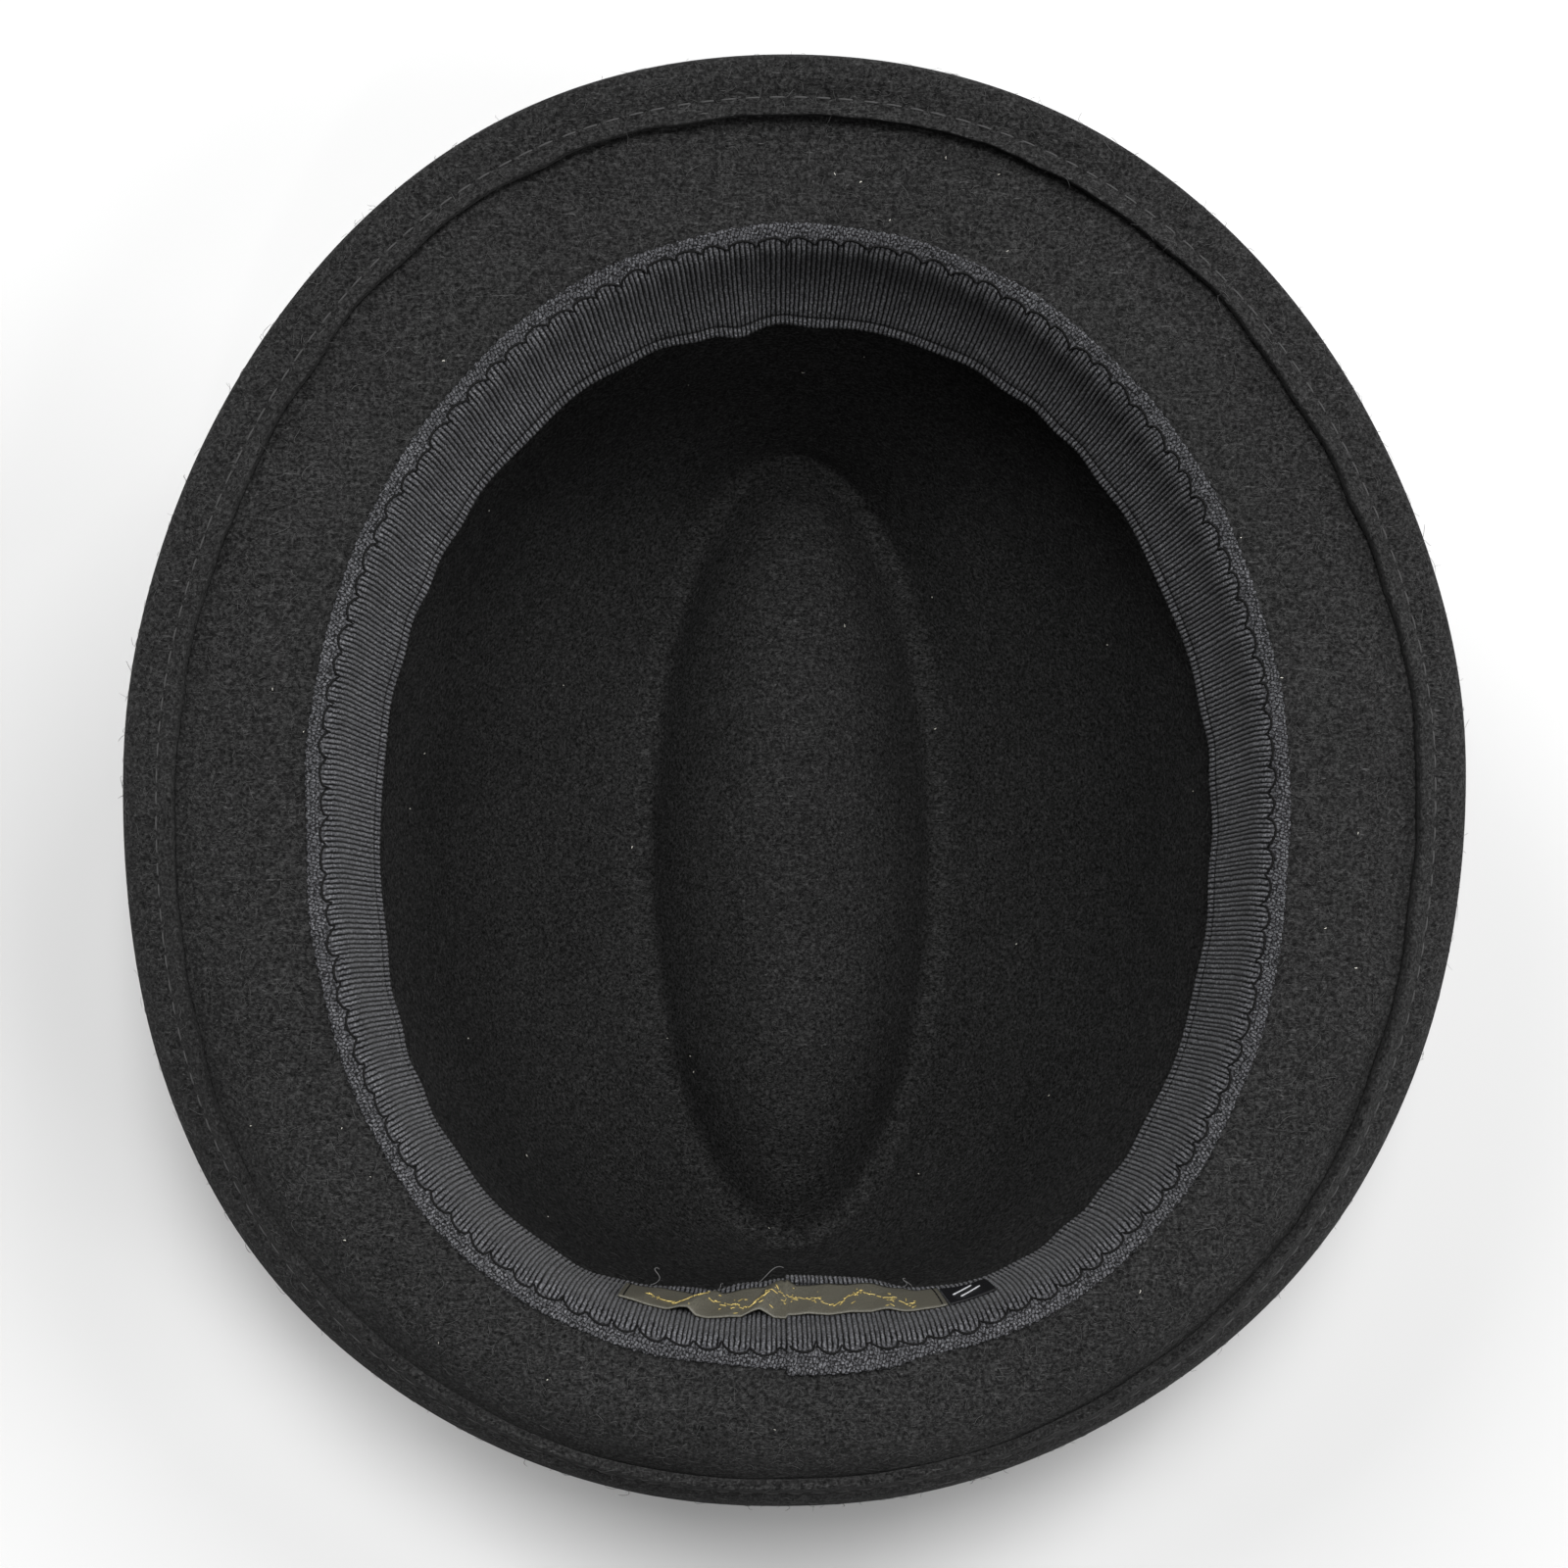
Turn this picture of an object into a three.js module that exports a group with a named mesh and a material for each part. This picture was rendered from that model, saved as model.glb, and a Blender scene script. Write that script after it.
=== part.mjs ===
// A felt hat with a short brim, lying on its crown with the head opening up.
// Lengths are in millimetres. +Y is the front of the hat, +Z is up, and the surface it lies on is z = 0.
import * as THREE from 'three';

// The head opening, inside the sweatband
const HEAD_WIDTH = 168;
const HEAD_LENGTH = 198;
// How much squarer than an ellipse the oval is towards the back
const OVAL_SQUARENESS = 0.36;
// How much of it the brim has lost at its edge, as a share
const BRIM_ROUNDING = 0.4;

// The felt, from the surface the hat lies on to the bend where brim and crown meet
const FELT_THICKNESS = 2;
const CROWN_HEIGHT = 102;
const BRIM_WIDTH = 38;
// The brim's edge is folded over once and sewn down
const WELT_WIDTH = 11.3;
const WELT_GAP = 0.3;

// The leaf-shaped rim around the dent in the crown's top
const RIM_WIDTH = 64;
const RIM_LENGTH = 164;
const RIM_BREADTH = 6;
const RIM_SETBACK = 9;
const RIM_FRONT_LIFT = 3;
const RIM_REAR_LIFT = 6;
const DENT_DEPTH = 24;
// How far the crown's soft shoulder leans to one side
const CROWN_LEAN = 2.5;
// How deep the felt is pressed flat where the hat rests
const REST_PRESS = 0.35;

// The ribbed ribbon inside the head opening
const BAND_WIDTH = 28;
const BAND_THICKNESS = 1;
// What of it lies on the brim, past the bend
const BAND_LAP = 3.2;
// How far its free edge stands off the felt at the front, and how far it bulges at the back
const BAND_FLARE = 4.5;
const BAND_BULGE = 6.5;
const BULGE_LENGTH = 80;
const BULGE_X = 0;
// How far its two ends lie over each other, and where the upper end stops
const BAND_OVERLAP = 12;
const BAND_END_X = -2;
// The clearance of everything that is sewn on
const SEAT_GAP = 0.3;

// The woven label on the ribbon, at the back
const LABEL_LENGTH = 62;
const LABEL_HEIGHT = 11;
const LABEL_THICKNESS = 1;
const LABEL_CENTRE_X = -2.7;
// From the ribbon's free edge to the label and the tab beside it
const LABEL_INSET = 2.6;
const TAB_LENGTH = 8.5;
const TAB_SPACING = 0.5;

// Facets around the hat
const AROUND = 60;
// Steps of the sums and searches along the felt
const REACH_STEPS = 24;
const ARC_STEPS = 8;
// What counts as on a facet's edge, as a share of a facet
const FACET_MARGIN = 0.001;

// Around the brim, every 30 degrees from +X by way of the front: its width as a share of BRIM_WIDTH,
// and its slope in degrees at the bend and at the edge, where up is positive
const BRIM = [
  { width: 0.97, bendSlope: 0, edgeSlope: -27 },
  { width: 0.90, bendSlope: 2, edgeSlope: -13 },
  { width: 0.87, bendSlope: 4, edgeSlope: -1 },
  { width: 0.84, bendSlope: 6, edgeSlope: 8 },
  { width: 0.91, bendSlope: 4, edgeSlope: 0 },
  { width: 0.92, bendSlope: 2, edgeSlope: -9 },
  { width: 0.97, bendSlope: 0, edgeSlope: -23 },
  { width: 1.00, bendSlope: 2, edgeSlope: -42 },
  { width: 0.96, bendSlope: 3, edgeSlope: -58 },
  { width: 0.93, bendSlope: 4, edgeSlope: -61 },
  { width: 0.87, bendSlope: 3, edgeSlope: -60 },
  { width: 0.93, bendSlope: 2, edgeSlope: -47 },
];
// Where across the brim its slope changes, as shares of its width
const SLOPE_START = 0.25;
const SLOPE_SPAN = 0.55;
// The sections across the brim, as shares of its width from the edge inwards
const BRIM_SECTIONS = [1, 0.93, 0.85, 0.75, 0.62, 0.5, 0.36, 0.2];

// The sections of the crown's wall. drop is the share of the way down from the bend to the rim. side, end and
// back are the shares of the way in from the opening's width, its length and its middle to the rim's.
// lean is a share of CROWN_LEAN, and square one of OVAL_SQUARENESS.
const WALL = [
  { drop: 0.09, side: 0.01, end: 0.03, back: 0.02, lean: 0, square: 1 },
  { drop: 0.17, side: 0.03, end: 0.1, back: 0.08, lean: 0, square: 1 },
  { drop: 0.27, side: 0.08, end: 0.2, back: 0.22, lean: 0.1, square: 0.9 },
  { drop: 0.4, side: 0.15, end: 0.33, back: 0.39, lean: 0.3, square: 0.8 },
  { drop: 0.55, side: 0.26, end: 0.46, back: 0.55, lean: 0.6, square: 0.6 },
  { drop: 0.69, side: 0.4, end: 0.59, back: 0.72, lean: 0.9, square: 0.5 },
  { drop: 0.81, side: 0.58, end: 0.73, back: 0.89, lean: 1, square: 0.3 },
  { drop: 0.9, side: 0.76, end: 0.85, back: 0.98, lean: 0.8, square: 0.2 },
  { drop: 0.96, side: 0.9, end: 0.94, back: 1, lean: 0.4, square: 0.1 },
];
// The sections of the dent, as shares of the way from its middle to the rim
const DENT_SECTIONS = [0.9, 0.79, 0.66, 0.52, 0.36, 0.18, 0];
// The rounded rim's outer side, its middle and its inner side
const RIM_SIDES = [1, 0, -1];
// How the dent runs out towards its ends, and how flat its middle is across
const DENT_END_POWER = 0.6;
const DENT_SIDE_POWER = 2.2;
const RIM_LIFT_POWER = 4;

// How far the ribbon's free edge stands off, every 30 degrees as in BRIM, as a share of BAND_FLARE
const FLARE = [0.35, 0.7, 0.8, 1.15, 0.85, 0.7, 0.5, 0.1, 0, 0, 0, 0.3];
// The sections across the ribbon at the bend, as shares of its width from the edge on the brim
const BEND_SECTIONS = [0, 0.07, 0.14, 0.21, 0.3];
// Where the upper end has come down again, and how long it takes, as shares of BAND_OVERLAP
const LAYER_RUN = 2.4;
const LAYER_RAMP = 0.8;
// The sections across the label, as shares of its height from the brim's side
const STRIP_SECTIONS = [0, 0.33, 0.67, 1];

const CORNER_ROW = BRIM_SECTIONS.length;
const RIM_ROW = CORNER_ROW + 1 + WALL.length;
const BACK = 1.5 * Math.PI;
const FACET = 2 * Math.PI / AROUND;
const UP = new THREE.Vector3(0, 0, 1);

function mix(a, b, share) {
  return a + (b - a) * share;
}

function smooth(share) {
  const t = THREE.MathUtils.clamp(share, 0, 1);
  return t * t * (3 - 2 * t);
}

// A smooth value at an angle, from values that are spaced evenly all round
function around(values, angle) {
  const count = values.length;
  const turn = angle / (2 * Math.PI);
  const place = (turn - Math.floor(turn)) * count;
  const first = Math.floor(place);
  const t = place - first;
  const [a, b, c, d] = [-1, 0, 1, 2].map((k) => values[(first + k + count) % count]);
  return b + 0.5 * t * (c - a + t * (2 * a - 5 * b + 4 * c - d + t * (3 * (b - c) + d - a)));
}

// A point of the head's oval, which is squarer towards the back
function oval(angle, halfWidth, halfLength, square) {
  const c = Math.cos(angle);
  const s = Math.sin(angle);
  const power = 2 / (2 + OVAL_SQUARENESS * square * smooth(0.5 - s / 0.6));
  return [
    halfWidth * Math.sign(c) * Math.abs(c) ** power,
    halfLength * Math.sign(s) * Math.abs(s) ** power,
  ];
}

// How far out and up the brim has gone at a distance from the bend
function brimReach(angle, distance) {
  const width = BRIM_WIDTH * around(BRIM.map((row) => row.width), angle);
  const bendSlope = around(BRIM.map((row) => row.bendSlope), angle);
  const edgeSlope = around(BRIM.map((row) => row.edgeSlope), angle);
  const step = distance / REACH_STEPS;
  let out = 0;
  let rise = 0;
  for (let i = 0; i < REACH_STEPS; i++) {
    const across = (i + 0.5) * step / width;
    const slope = mix(bendSlope, edgeSlope, smooth((across - SLOPE_START) / SLOPE_SPAN));
    out += step * Math.cos(THREE.MathUtils.degToRad(slope));
    rise += step * Math.sin(THREE.MathUtils.degToRad(slope));
  }
  return { out, rise, width };
}

// The control points of the felt's middle surface, from the brim's edge to the middle of the dent
function feltControls(angle) {
  const seat = BAND_THICKNESS + SEAT_GAP + FELT_THICKNESS / 2;
  const halfWidth = HEAD_WIDTH / 2 + seat;
  const halfLength = HEAD_LENGTH / 2 + seat;
  const c = Math.cos(angle);
  const s = Math.sin(angle);
  const rows = [];
  const { width } = brimReach(angle, BRIM_WIDTH);
  for (const share of BRIM_SECTIONS) {
    const { out, rise } = brimReach(angle, share * width);
    const [x, y] = oval(angle, halfWidth + out, halfLength + out, 1 - BRIM_ROUNDING * share);
    rows.push(new THREE.Vector3(x, y, CROWN_HEIGHT + rise));
  }
  const [cornerX, cornerY] = oval(angle, halfWidth, halfLength, 1);
  rows.push(new THREE.Vector3(cornerX, cornerY, CROWN_HEIGHT));
  const lift = (s > 0 ? RIM_FRONT_LIFT : RIM_REAR_LIFT) * Math.abs(s) ** RIM_LIFT_POWER;
  const [rimHalfWidth, , dentHalfWidth] = RIM_SIDES.map((side) => (RIM_WIDTH + side * RIM_BREADTH) / 2);
  const [rimHalfLength, , dentHalfLength] = RIM_SIDES.map((side) => (RIM_LENGTH + side * RIM_BREADTH) / 2);
  for (const row of WALL) {
    const sectionWidth = mix(halfWidth, rimHalfWidth, row.side);
    const sectionLength = mix(halfLength, rimHalfLength, row.end);
    const [x, y] = oval(angle, sectionWidth, sectionLength, row.square);
    const z = mix(CROWN_HEIGHT, lift, row.drop);
    rows.push(new THREE.Vector3(x - CROWN_LEAN * row.lean, y - RIM_SETBACK * row.back, z));
  }
  for (const side of RIM_SIDES) {
    const x = (RIM_WIDTH + side * RIM_BREADTH) / 2 * c;
    const y = (RIM_LENGTH + side * RIM_BREADTH) / 2 * s - RIM_SETBACK;
    rows.push(new THREE.Vector3(x, y, lift));
  }
  for (const share of DENT_SECTIONS) {
    const along = share * s;
    const room = 1 - along * along;
    const across = share * Math.abs(c) / Math.sqrt(room);
    const depth = room ** DENT_END_POWER * (1 - across ** DENT_SIDE_POWER);
    const x = dentHalfWidth * share * c;
    const y = dentHalfLength * along - RIM_SETBACK;
    rows.push(new THREE.Vector3(x, y, mix(lift, DENT_DEPTH, depth)));
  }
  // The curve's own middle lies at the dent's full depth
  const [ring, middle] = rows.slice(-2);
  middle.z = (3 * DENT_DEPTH - ring.z) / 2;
  return rows;
}

// A point of the smooth curve along a meridian's control points. It starts on the first of them, and it is
// level where it ends, in the middle of the dent.
function curvePoint(controls, place) {
  const last = controls.length - 1;
  const first = Math.min(Math.floor(place), last - 1);
  const t = place - first;
  const at = (i) => {
    if (i < 0) return controls[0].clone().multiplyScalar(2).sub(controls[1]);
    if (i <= last) return controls[i];
    const ring = controls[last - 1];
    const middle = controls[last];
    return new THREE.Vector3(2 * middle.x - ring.x, 2 * middle.y - ring.y, ring.z);
  };
  const weights = [
    (1 - t) ** 3,
    3 * t ** 3 - 6 * t ** 2 + 4,
    -3 * t ** 3 + 3 * t ** 2 + 3 * t + 1,
    t ** 3,
  ];
  const point = new THREE.Vector3();
  weights.forEach((weight, k) => point.addScaledVector(at(first + k - 1), weight / 6));
  return point;
}

// How far the whole felt moves down, so that its lowest places are pressed flat on the surface
function restOffset() {
  let lowest = Infinity;
  for (let i = 0; i < AROUND; i++) {
    const controls = feltControls(2 * Math.PI * i / AROUND);
    for (let k = 0; k <= ARC_STEPS; k++) {
      lowest = Math.min(lowest, curvePoint(controls, RIM_ROW + 2 * k / ARC_STEPS).z);
    }
  }
  return FELT_THICKNESS / 2 - REST_PRESS - lowest;
}
const REST_OFFSET = restOffset();

// A place on the felt's middle surface. Its normal is on the side of the head, its tangent towards the edge.
function feltFrame(angle, place) {
  const turn = 0.01;
  const step = 0.02;
  const here = feltControls(angle);
  const last = here.length - 1;
  const point = curvePoint(here, place);
  const outer = curvePoint(here, Math.max(place - step, 0));
  const inner = curvePoint(here, Math.min(place + step, last));
  const before = curvePoint(feltControls(angle - turn), place);
  const after = curvePoint(feltControls(angle + turn), place);
  const tangent = outer.sub(inner).normalize();
  const normal = tangent.clone().cross(after.sub(before)).normalize();
  point.z += REST_OFFSET;
  return { point, tangent, normal: place < last ? normal : UP.clone() };
}

// The distance along the felt from the bend to a row, for a list of places
function arcTable(angle, from, to) {
  const controls = feltControls(angle);
  const table = [];
  const count = Math.round((to - from) * ARC_STEPS);
  let arc = 0;
  let previous = curvePoint(controls, from);
  for (let i = 0; i <= count; i++) {
    const place = from + i / ARC_STEPS;
    const point = curvePoint(controls, place);
    arc += point.distanceTo(previous);
    previous = point;
    table.push({ place, arc });
  }
  const corner = table.find((entry) => entry.place >= CORNER_ROW) ?? { arc: 0 };
  return table.map((entry) => ({ place: entry.place, arc: entry.arc - corner.arc }));
}

// The place at a distance along the felt, from a table of distances
function placeAt(table, arc) {
  let i = 1;
  while (i < table.length - 1 && table[i].arc < arc) i++;
  const share = (arc - table[i - 1].arc) / (table[i].arc - table[i - 1].arc);
  return mix(table[i - 1].place, table[i].place, share);
}

// One closed body from a grid of points on two sides of a sheet. Both lists hold rows along the sheet, and
// each row its points across. A sheet may run all round, and its last row may shrink to one point.
function sheetGeometry(upper, lower, { closed, pole }) {
  const rows = upper.length;
  const across = upper[0].length;
  const positions = [];
  const index = [];
  const ids = [upper, lower].map((side) => side.map((row, r) => {
    if (pole && r === rows - 1) {
      positions.push(row[0].x, row[0].y, row[0].z);
      return row.map(() => positions.length / 3 - 1);
    }
    return row.map((point) => positions.push(point.x, point.y, point.z) / 3 - 1);
  }));
  const quad = (a, b, c, d) => {
    if (a !== b && b !== c && a !== c) index.push(a, b, c);
    if (a !== c && c !== d && a !== d) index.push(a, c, d);
  };
  const [top, bottom] = ids;
  const spans = closed ? across : across - 1;
  for (let r = 0; r < rows - 1; r++) {
    for (let i = 0; i < spans; i++) {
      const j = (i + 1) % across;
      quad(top[r][i], top[r][j], top[r + 1][j], top[r + 1][i]);
      quad(bottom[r][i], bottom[r + 1][i], bottom[r + 1][j], bottom[r][j]);
    }
  }
  for (let i = 0; i < spans; i++) {
    const j = (i + 1) % across;
    quad(bottom[0][i], bottom[0][j], top[0][j], top[0][i]);
    if (!pole) quad(top[rows - 1][i], top[rows - 1][j], bottom[rows - 1][j], bottom[rows - 1][i]);
  }
  if (!closed) {
    const end = across - 1;
    for (let r = 0; r < rows - 1; r++) {
      quad(top[r][0], top[r + 1][0], bottom[r + 1][0], bottom[r][0]);
      quad(bottom[r][end], bottom[r + 1][end], top[r + 1][end], top[r][end]);
    }
  }
  const geometry = new THREE.BufferGeometry();
  geometry.setAttribute('position', new THREE.Float32BufferAttribute(positions, 3));
  geometry.setIndex(index);
  geometry.computeVertexNormals();
  return geometry;
}

// The places of the felt's facets: one for each section, and more where the felt bends most
function feltPlaces() {
  const places = [];
  const last = RIM_ROW + RIM_SIDES.length - 1 + DENT_SECTIONS.length;
  for (let row = 0; row <= last; row++) {
    places.push(row);
    const atBend = row >= CORNER_ROW - 1 && row <= CORNER_ROW;
    const atRim = row >= RIM_ROW && row < RIM_ROW + RIM_SIDES.length - 1;
    if (atBend || atRim) places.push(row + 0.5);
  }
  return places;
}

// Crown, brim and folded edge are one piece of felt
function feltBody() {
  const half = FELT_THICKNESS / 2;
  const foldRadius = half + WELT_GAP / 2;
  const flap = WELT_WIDTH - foldRadius - half;
  const flapShares = [1, 0.5, 0];
  const foldTurns = [0.75, 0.5, 0.25];
  const outside = [];
  const inside = [];
  const add = (r, point, normal) => {
    const bottom = point.clone().addScaledVector(normal, half);
    bottom.z = Math.max(bottom.z, 0);
    (outside[r] ??= []).push(bottom);
    (inside[r] ??= []).push(point.clone().addScaledVector(normal, -half));
  };
  for (let i = 0; i < AROUND; i++) {
    const angle = 2 * Math.PI * i / AROUND;
    const table = arcTable(angle, 0, CORNER_ROW);
    let r = 0;
    for (const share of flapShares) {
      const place = placeAt(table, table[0].arc + share * flap);
      const { point, normal } = feltFrame(angle, place);
      add(r++, point.addScaledVector(normal, 2 * foldRadius), normal);
    }
    const edge = feltFrame(angle, 0);
    for (const turn of foldTurns) {
      const out = Math.sin(Math.PI * turn);
      const up = -Math.cos(Math.PI * turn);
      const side = edge.tangent.clone().multiplyScalar(out).addScaledVector(edge.normal, up);
      const centre = edge.point.clone().addScaledVector(edge.normal, foldRadius);
      add(r++, centre.addScaledVector(side, foldRadius), side);
    }
    for (const place of feltPlaces()) {
      const { point, normal } = feltFrame(angle, place);
      add(r++, point, normal.negate());
    }
  }
  return sheetGeometry(inside, outside, { closed: true, pole: true });
}

// The angle of a place along X at the back of the oval
function backAngle(x) {
  const share = Math.abs(x) / (HEAD_WIDTH / 2);
  return BACK + Math.sign(x) * Math.asin(share ** ((2 + OVAL_SQUARENESS) / 2));
}

// The share of a second layer of ribbon at an angle: the upper end rises to lie on the one below
function secondLayer(angle) {
  const end = backAngle(BAND_END_X);
  const overlap = backAngle(BAND_END_X + BAND_OVERLAP) - end;
  return smooth((end + LAYER_RUN * overlap - angle) / (LAYER_RAMP * overlap));
}

// How far the ribbon's free edge stands off the felt
function freeEdge(angle) {
  const centre = backAngle(BULGE_X);
  const half = backAngle(BULGE_X + BULGE_LENGTH / 2) - centre;
  const turn = THREE.MathUtils.euclideanModulo(angle, 2 * Math.PI);
  return BAND_FLARE * around(FLARE, angle) + BAND_BULGE * smooth(1 - Math.abs(turn - centre) / half);
}

// A point of the felt's middle on a facet between two meridians, at a distance from the bend, and its normal
function facetFrame(angle, distance) {
  const first = Math.floor(angle / FACET + FACET_MARGIN);
  const share = Math.max(angle / FACET - first, 0);
  const [a, b] = [first, first + 1].map((i) => {
    const table = arcTable(i * FACET, CORNER_ROW - 2, CORNER_ROW + 4);
    return feltFrame(i * FACET, placeAt(table, distance));
  });
  return { point: a.point.lerp(b.point, share), normal: a.normal.lerp(b.normal, share).normalize() };
}

// A point of the ribbon's middle at a distance from its edge on the brim, and its normal. layer is 1 where
// the ribbon's other end lies below.
function ribbonFrame(angle, distance, layer) {
  const { point, normal } = facetFrame(angle, distance - BAND_LAP);
  const free = Math.max((distance - 2 * BAND_LAP) / (BAND_WIDTH - 2 * BAND_LAP), 0);
  const layers = layer * (BAND_THICKNESS + SEAT_GAP);
  const flare = freeEdge(angle) * free * free;
  const lift = FELT_THICKNESS / 2 + SEAT_GAP + BAND_THICKNESS / 2 + layers + flare;
  return { point: point.addScaledVector(normal, lift), normal };
}

// The distances across the ribbon at which its facets and the label's meet
function labelSections() {
  const low = BAND_WIDTH - LABEL_INSET - LABEL_HEIGHT;
  return STRIP_SECTIONS.map((share) => low + share * LABEL_HEIGHT);
}

// The places along X at the back where the ribbon, the label and the tab end
function stripEnds() {
  const left = LABEL_CENTRE_X - LABEL_LENGTH / 2;
  const tab = left + LABEL_LENGTH + TAB_SPACING;
  return {
    band: [BAND_END_X, BAND_END_X + BAND_OVERLAP],
    label: [left, left + LABEL_LENGTH],
    tab: [tab, tab + TAB_LENGTH],
  };
}

// The angles of the ribbon's facets between two angles: the felt's meridians, and wherever a strip ends
function facetAngles(from, to) {
  const turn = 2 * Math.PI;
  const ends = Object.values(stripEnds()).flat().map(backAngle);
  const special = [...ends, ...ends.map((angle) => angle - turn)];
  const margin = 0.05 * FACET;
  const angles = special.filter((angle) => angle > from - margin && angle < to + margin);
  for (let i = Math.ceil(from / FACET); i * FACET < to; i++) {
    const clear = special.every((angle) => Math.abs(angle - i * FACET) > margin);
    if (clear) angles.push(i * FACET);
  }
  return angles.sort((a, b) => a - b);
}

// The ribbon goes once round the head, and its upper end lies over its lower one at the back
function sweatband() {
  const turn = 2 * Math.PI;
  const [end, start] = stripEnds().band.map(backAngle);
  const sections = [...BEND_SECTIONS.map((share) => share * BAND_WIDTH), ...labelSections(), BAND_WIDTH];
  const upper = sections.map(() => []);
  const lower = sections.map(() => []);
  for (const angle of facetAngles(end - turn, start)) {
    const layer = angle < BACK - Math.PI ? secondLayer(angle + turn) : 0;
    sections.forEach((distance, r) => {
      const { point, normal } = ribbonFrame(angle, distance, layer);
      upper[r].push(point.clone().addScaledVector(normal, BAND_THICKNESS / 2));
      lower[r].push(point.clone().addScaledVector(normal, -BAND_THICKNESS / 2));
    });
  }
  return sheetGeometry(upper, lower, { closed: false, pole: false });
}

// A strip sewn on the ribbon's inner face at the back, between two places along X
function sewnStrip([fromX, toX]) {
  const upper = STRIP_SECTIONS.map(() => []);
  const lower = STRIP_SECTIONS.map(() => []);
  const [bandEnd] = stripEnds().band.map(backAngle);
  for (const angle of facetAngles(backAngle(fromX), backAngle(toX))) {
    const layer = angle < bandEnd - FACET_MARGIN ? 0 : secondLayer(angle);
    labelSections().forEach((distance, r) => {
      const { point, normal } = ribbonFrame(angle, distance, layer);
      const gap = BAND_THICKNESS / 2 + SEAT_GAP;
      lower[r].push(point.clone().addScaledVector(normal, gap));
      upper[r].push(point.clone().addScaledVector(normal, gap + LABEL_THICKNESS));
    });
  }
  return sheetGeometry(upper, lower, { closed: false, pole: false });
}

function piece(name, geometry, color, roughness) {
  const material = new THREE.MeshStandardMaterial({ color, roughness, metalness: 0 });
  const mesh = new THREE.Mesh(geometry, material);
  mesh.name = name;
  return mesh;
}

const hat = new THREE.Group();
hat.add(piece('felt_body', feltBody(), 0x2a2a2c, 0.95));
hat.add(piece('sweatband', sweatband(), 0x3c3e46, 0.75));
hat.add(piece('label', sewnStrip(stripEnds().label), 0x4f4a3f, 0.5));
hat.add(piece('size_tab', sewnStrip(stripEnds().tab), 0x141416, 0.5));

// The origin lies under the middle of the hat's outline
const outline = new THREE.Box3().setFromObject(hat).getCenter(new THREE.Vector3());
hat.position.set(-outline.x, -outline.y, 0);
hat.updateMatrixWorld(true);

export default hat;
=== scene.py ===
"""A black felt hat that lies on its crown on a pale floor, seen from above into the head opening.

Shapes are worked out in millimetres, with the front of the hat towards +Y, and go into Blender in metres.
"""

import bpy
import numpy as np
from mathutils import Matrix, Vector, noise


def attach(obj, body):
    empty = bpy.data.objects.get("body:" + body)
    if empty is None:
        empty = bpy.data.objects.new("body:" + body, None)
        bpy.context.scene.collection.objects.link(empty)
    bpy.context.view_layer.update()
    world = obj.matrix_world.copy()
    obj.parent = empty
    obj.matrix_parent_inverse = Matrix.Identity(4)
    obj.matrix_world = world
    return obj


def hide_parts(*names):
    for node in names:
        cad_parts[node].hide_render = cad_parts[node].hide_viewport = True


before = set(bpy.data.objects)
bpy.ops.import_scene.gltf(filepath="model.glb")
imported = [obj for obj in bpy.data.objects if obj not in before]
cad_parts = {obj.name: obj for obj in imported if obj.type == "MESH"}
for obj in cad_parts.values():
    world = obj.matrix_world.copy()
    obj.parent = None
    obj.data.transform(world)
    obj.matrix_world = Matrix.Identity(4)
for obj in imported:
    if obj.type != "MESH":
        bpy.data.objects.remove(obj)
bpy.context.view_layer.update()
rng = np.random.default_rng(7)

# Sizes in millimetres, as in the part
HEAD_WIDTH, HEAD_LENGTH = 168.0, 198.0
OVAL_SQUARENESS, BRIM_ROUNDING = 0.36, 0.4
FELT = 2.0
CROWN_HEIGHT = 102.0
BRIM_WIDTH = 38.0
WELT_WIDTH, WELT_GAP = 11.3, 0.3
RIM_WIDTH, RIM_LENGTH, RIM_BREADTH = 64.0, 164.0, 6.0
RIM_SETBACK, RIM_FRONT_LIFT, RIM_REAR_LIFT = 9.0, 3.0, 6.0
DENT_DEPTH, CROWN_LEAN, REST_PRESS = 24.0, 2.5, 0.35
BAND_WIDTH, BAND_LAP, BAND_FLARE = 28.0, 3.2, 4.5
BAND_SEAT = 1.0
BAND_BULGE, BULGE_X, BULGE_LENGTH = 6.5, 0.0, 80.0
BAND_END_X, BAND_OVERLAP = -2.0, 12.0
SEAT_GAP = 0.3
LABEL_LENGTH, LABEL_HEIGHT, LABEL_CENTRE_X, LABEL_INSET = 62.0, 11.0, -2.7, 2.6
TAB_LENGTH, TAB_SPACING = 8.5, 0.5
LAYER_RUN, LAYER_RAMP = 2.4, 0.8

# width share, slope at the bend and slope at the edge, every 30 degrees
BRIM = np.array([
    (0.97, 0, -27), (0.90, 2, -13), (0.87, 4, -1), (0.84, 6, 8), (0.91, 4, 0), (0.92, 2, -9),
    (0.97, 0, -23), (1.00, 2, -42), (0.96, 3, -58), (0.93, 4, -61), (0.87, 3, -60), (0.93, 2, -47)], float)
SLOPE_START, SLOPE_SPAN = 0.25, 0.55
BRIM_SECTIONS = [1, 0.93, 0.85, 0.75, 0.62, 0.5, 0.36, 0.2]
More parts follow.
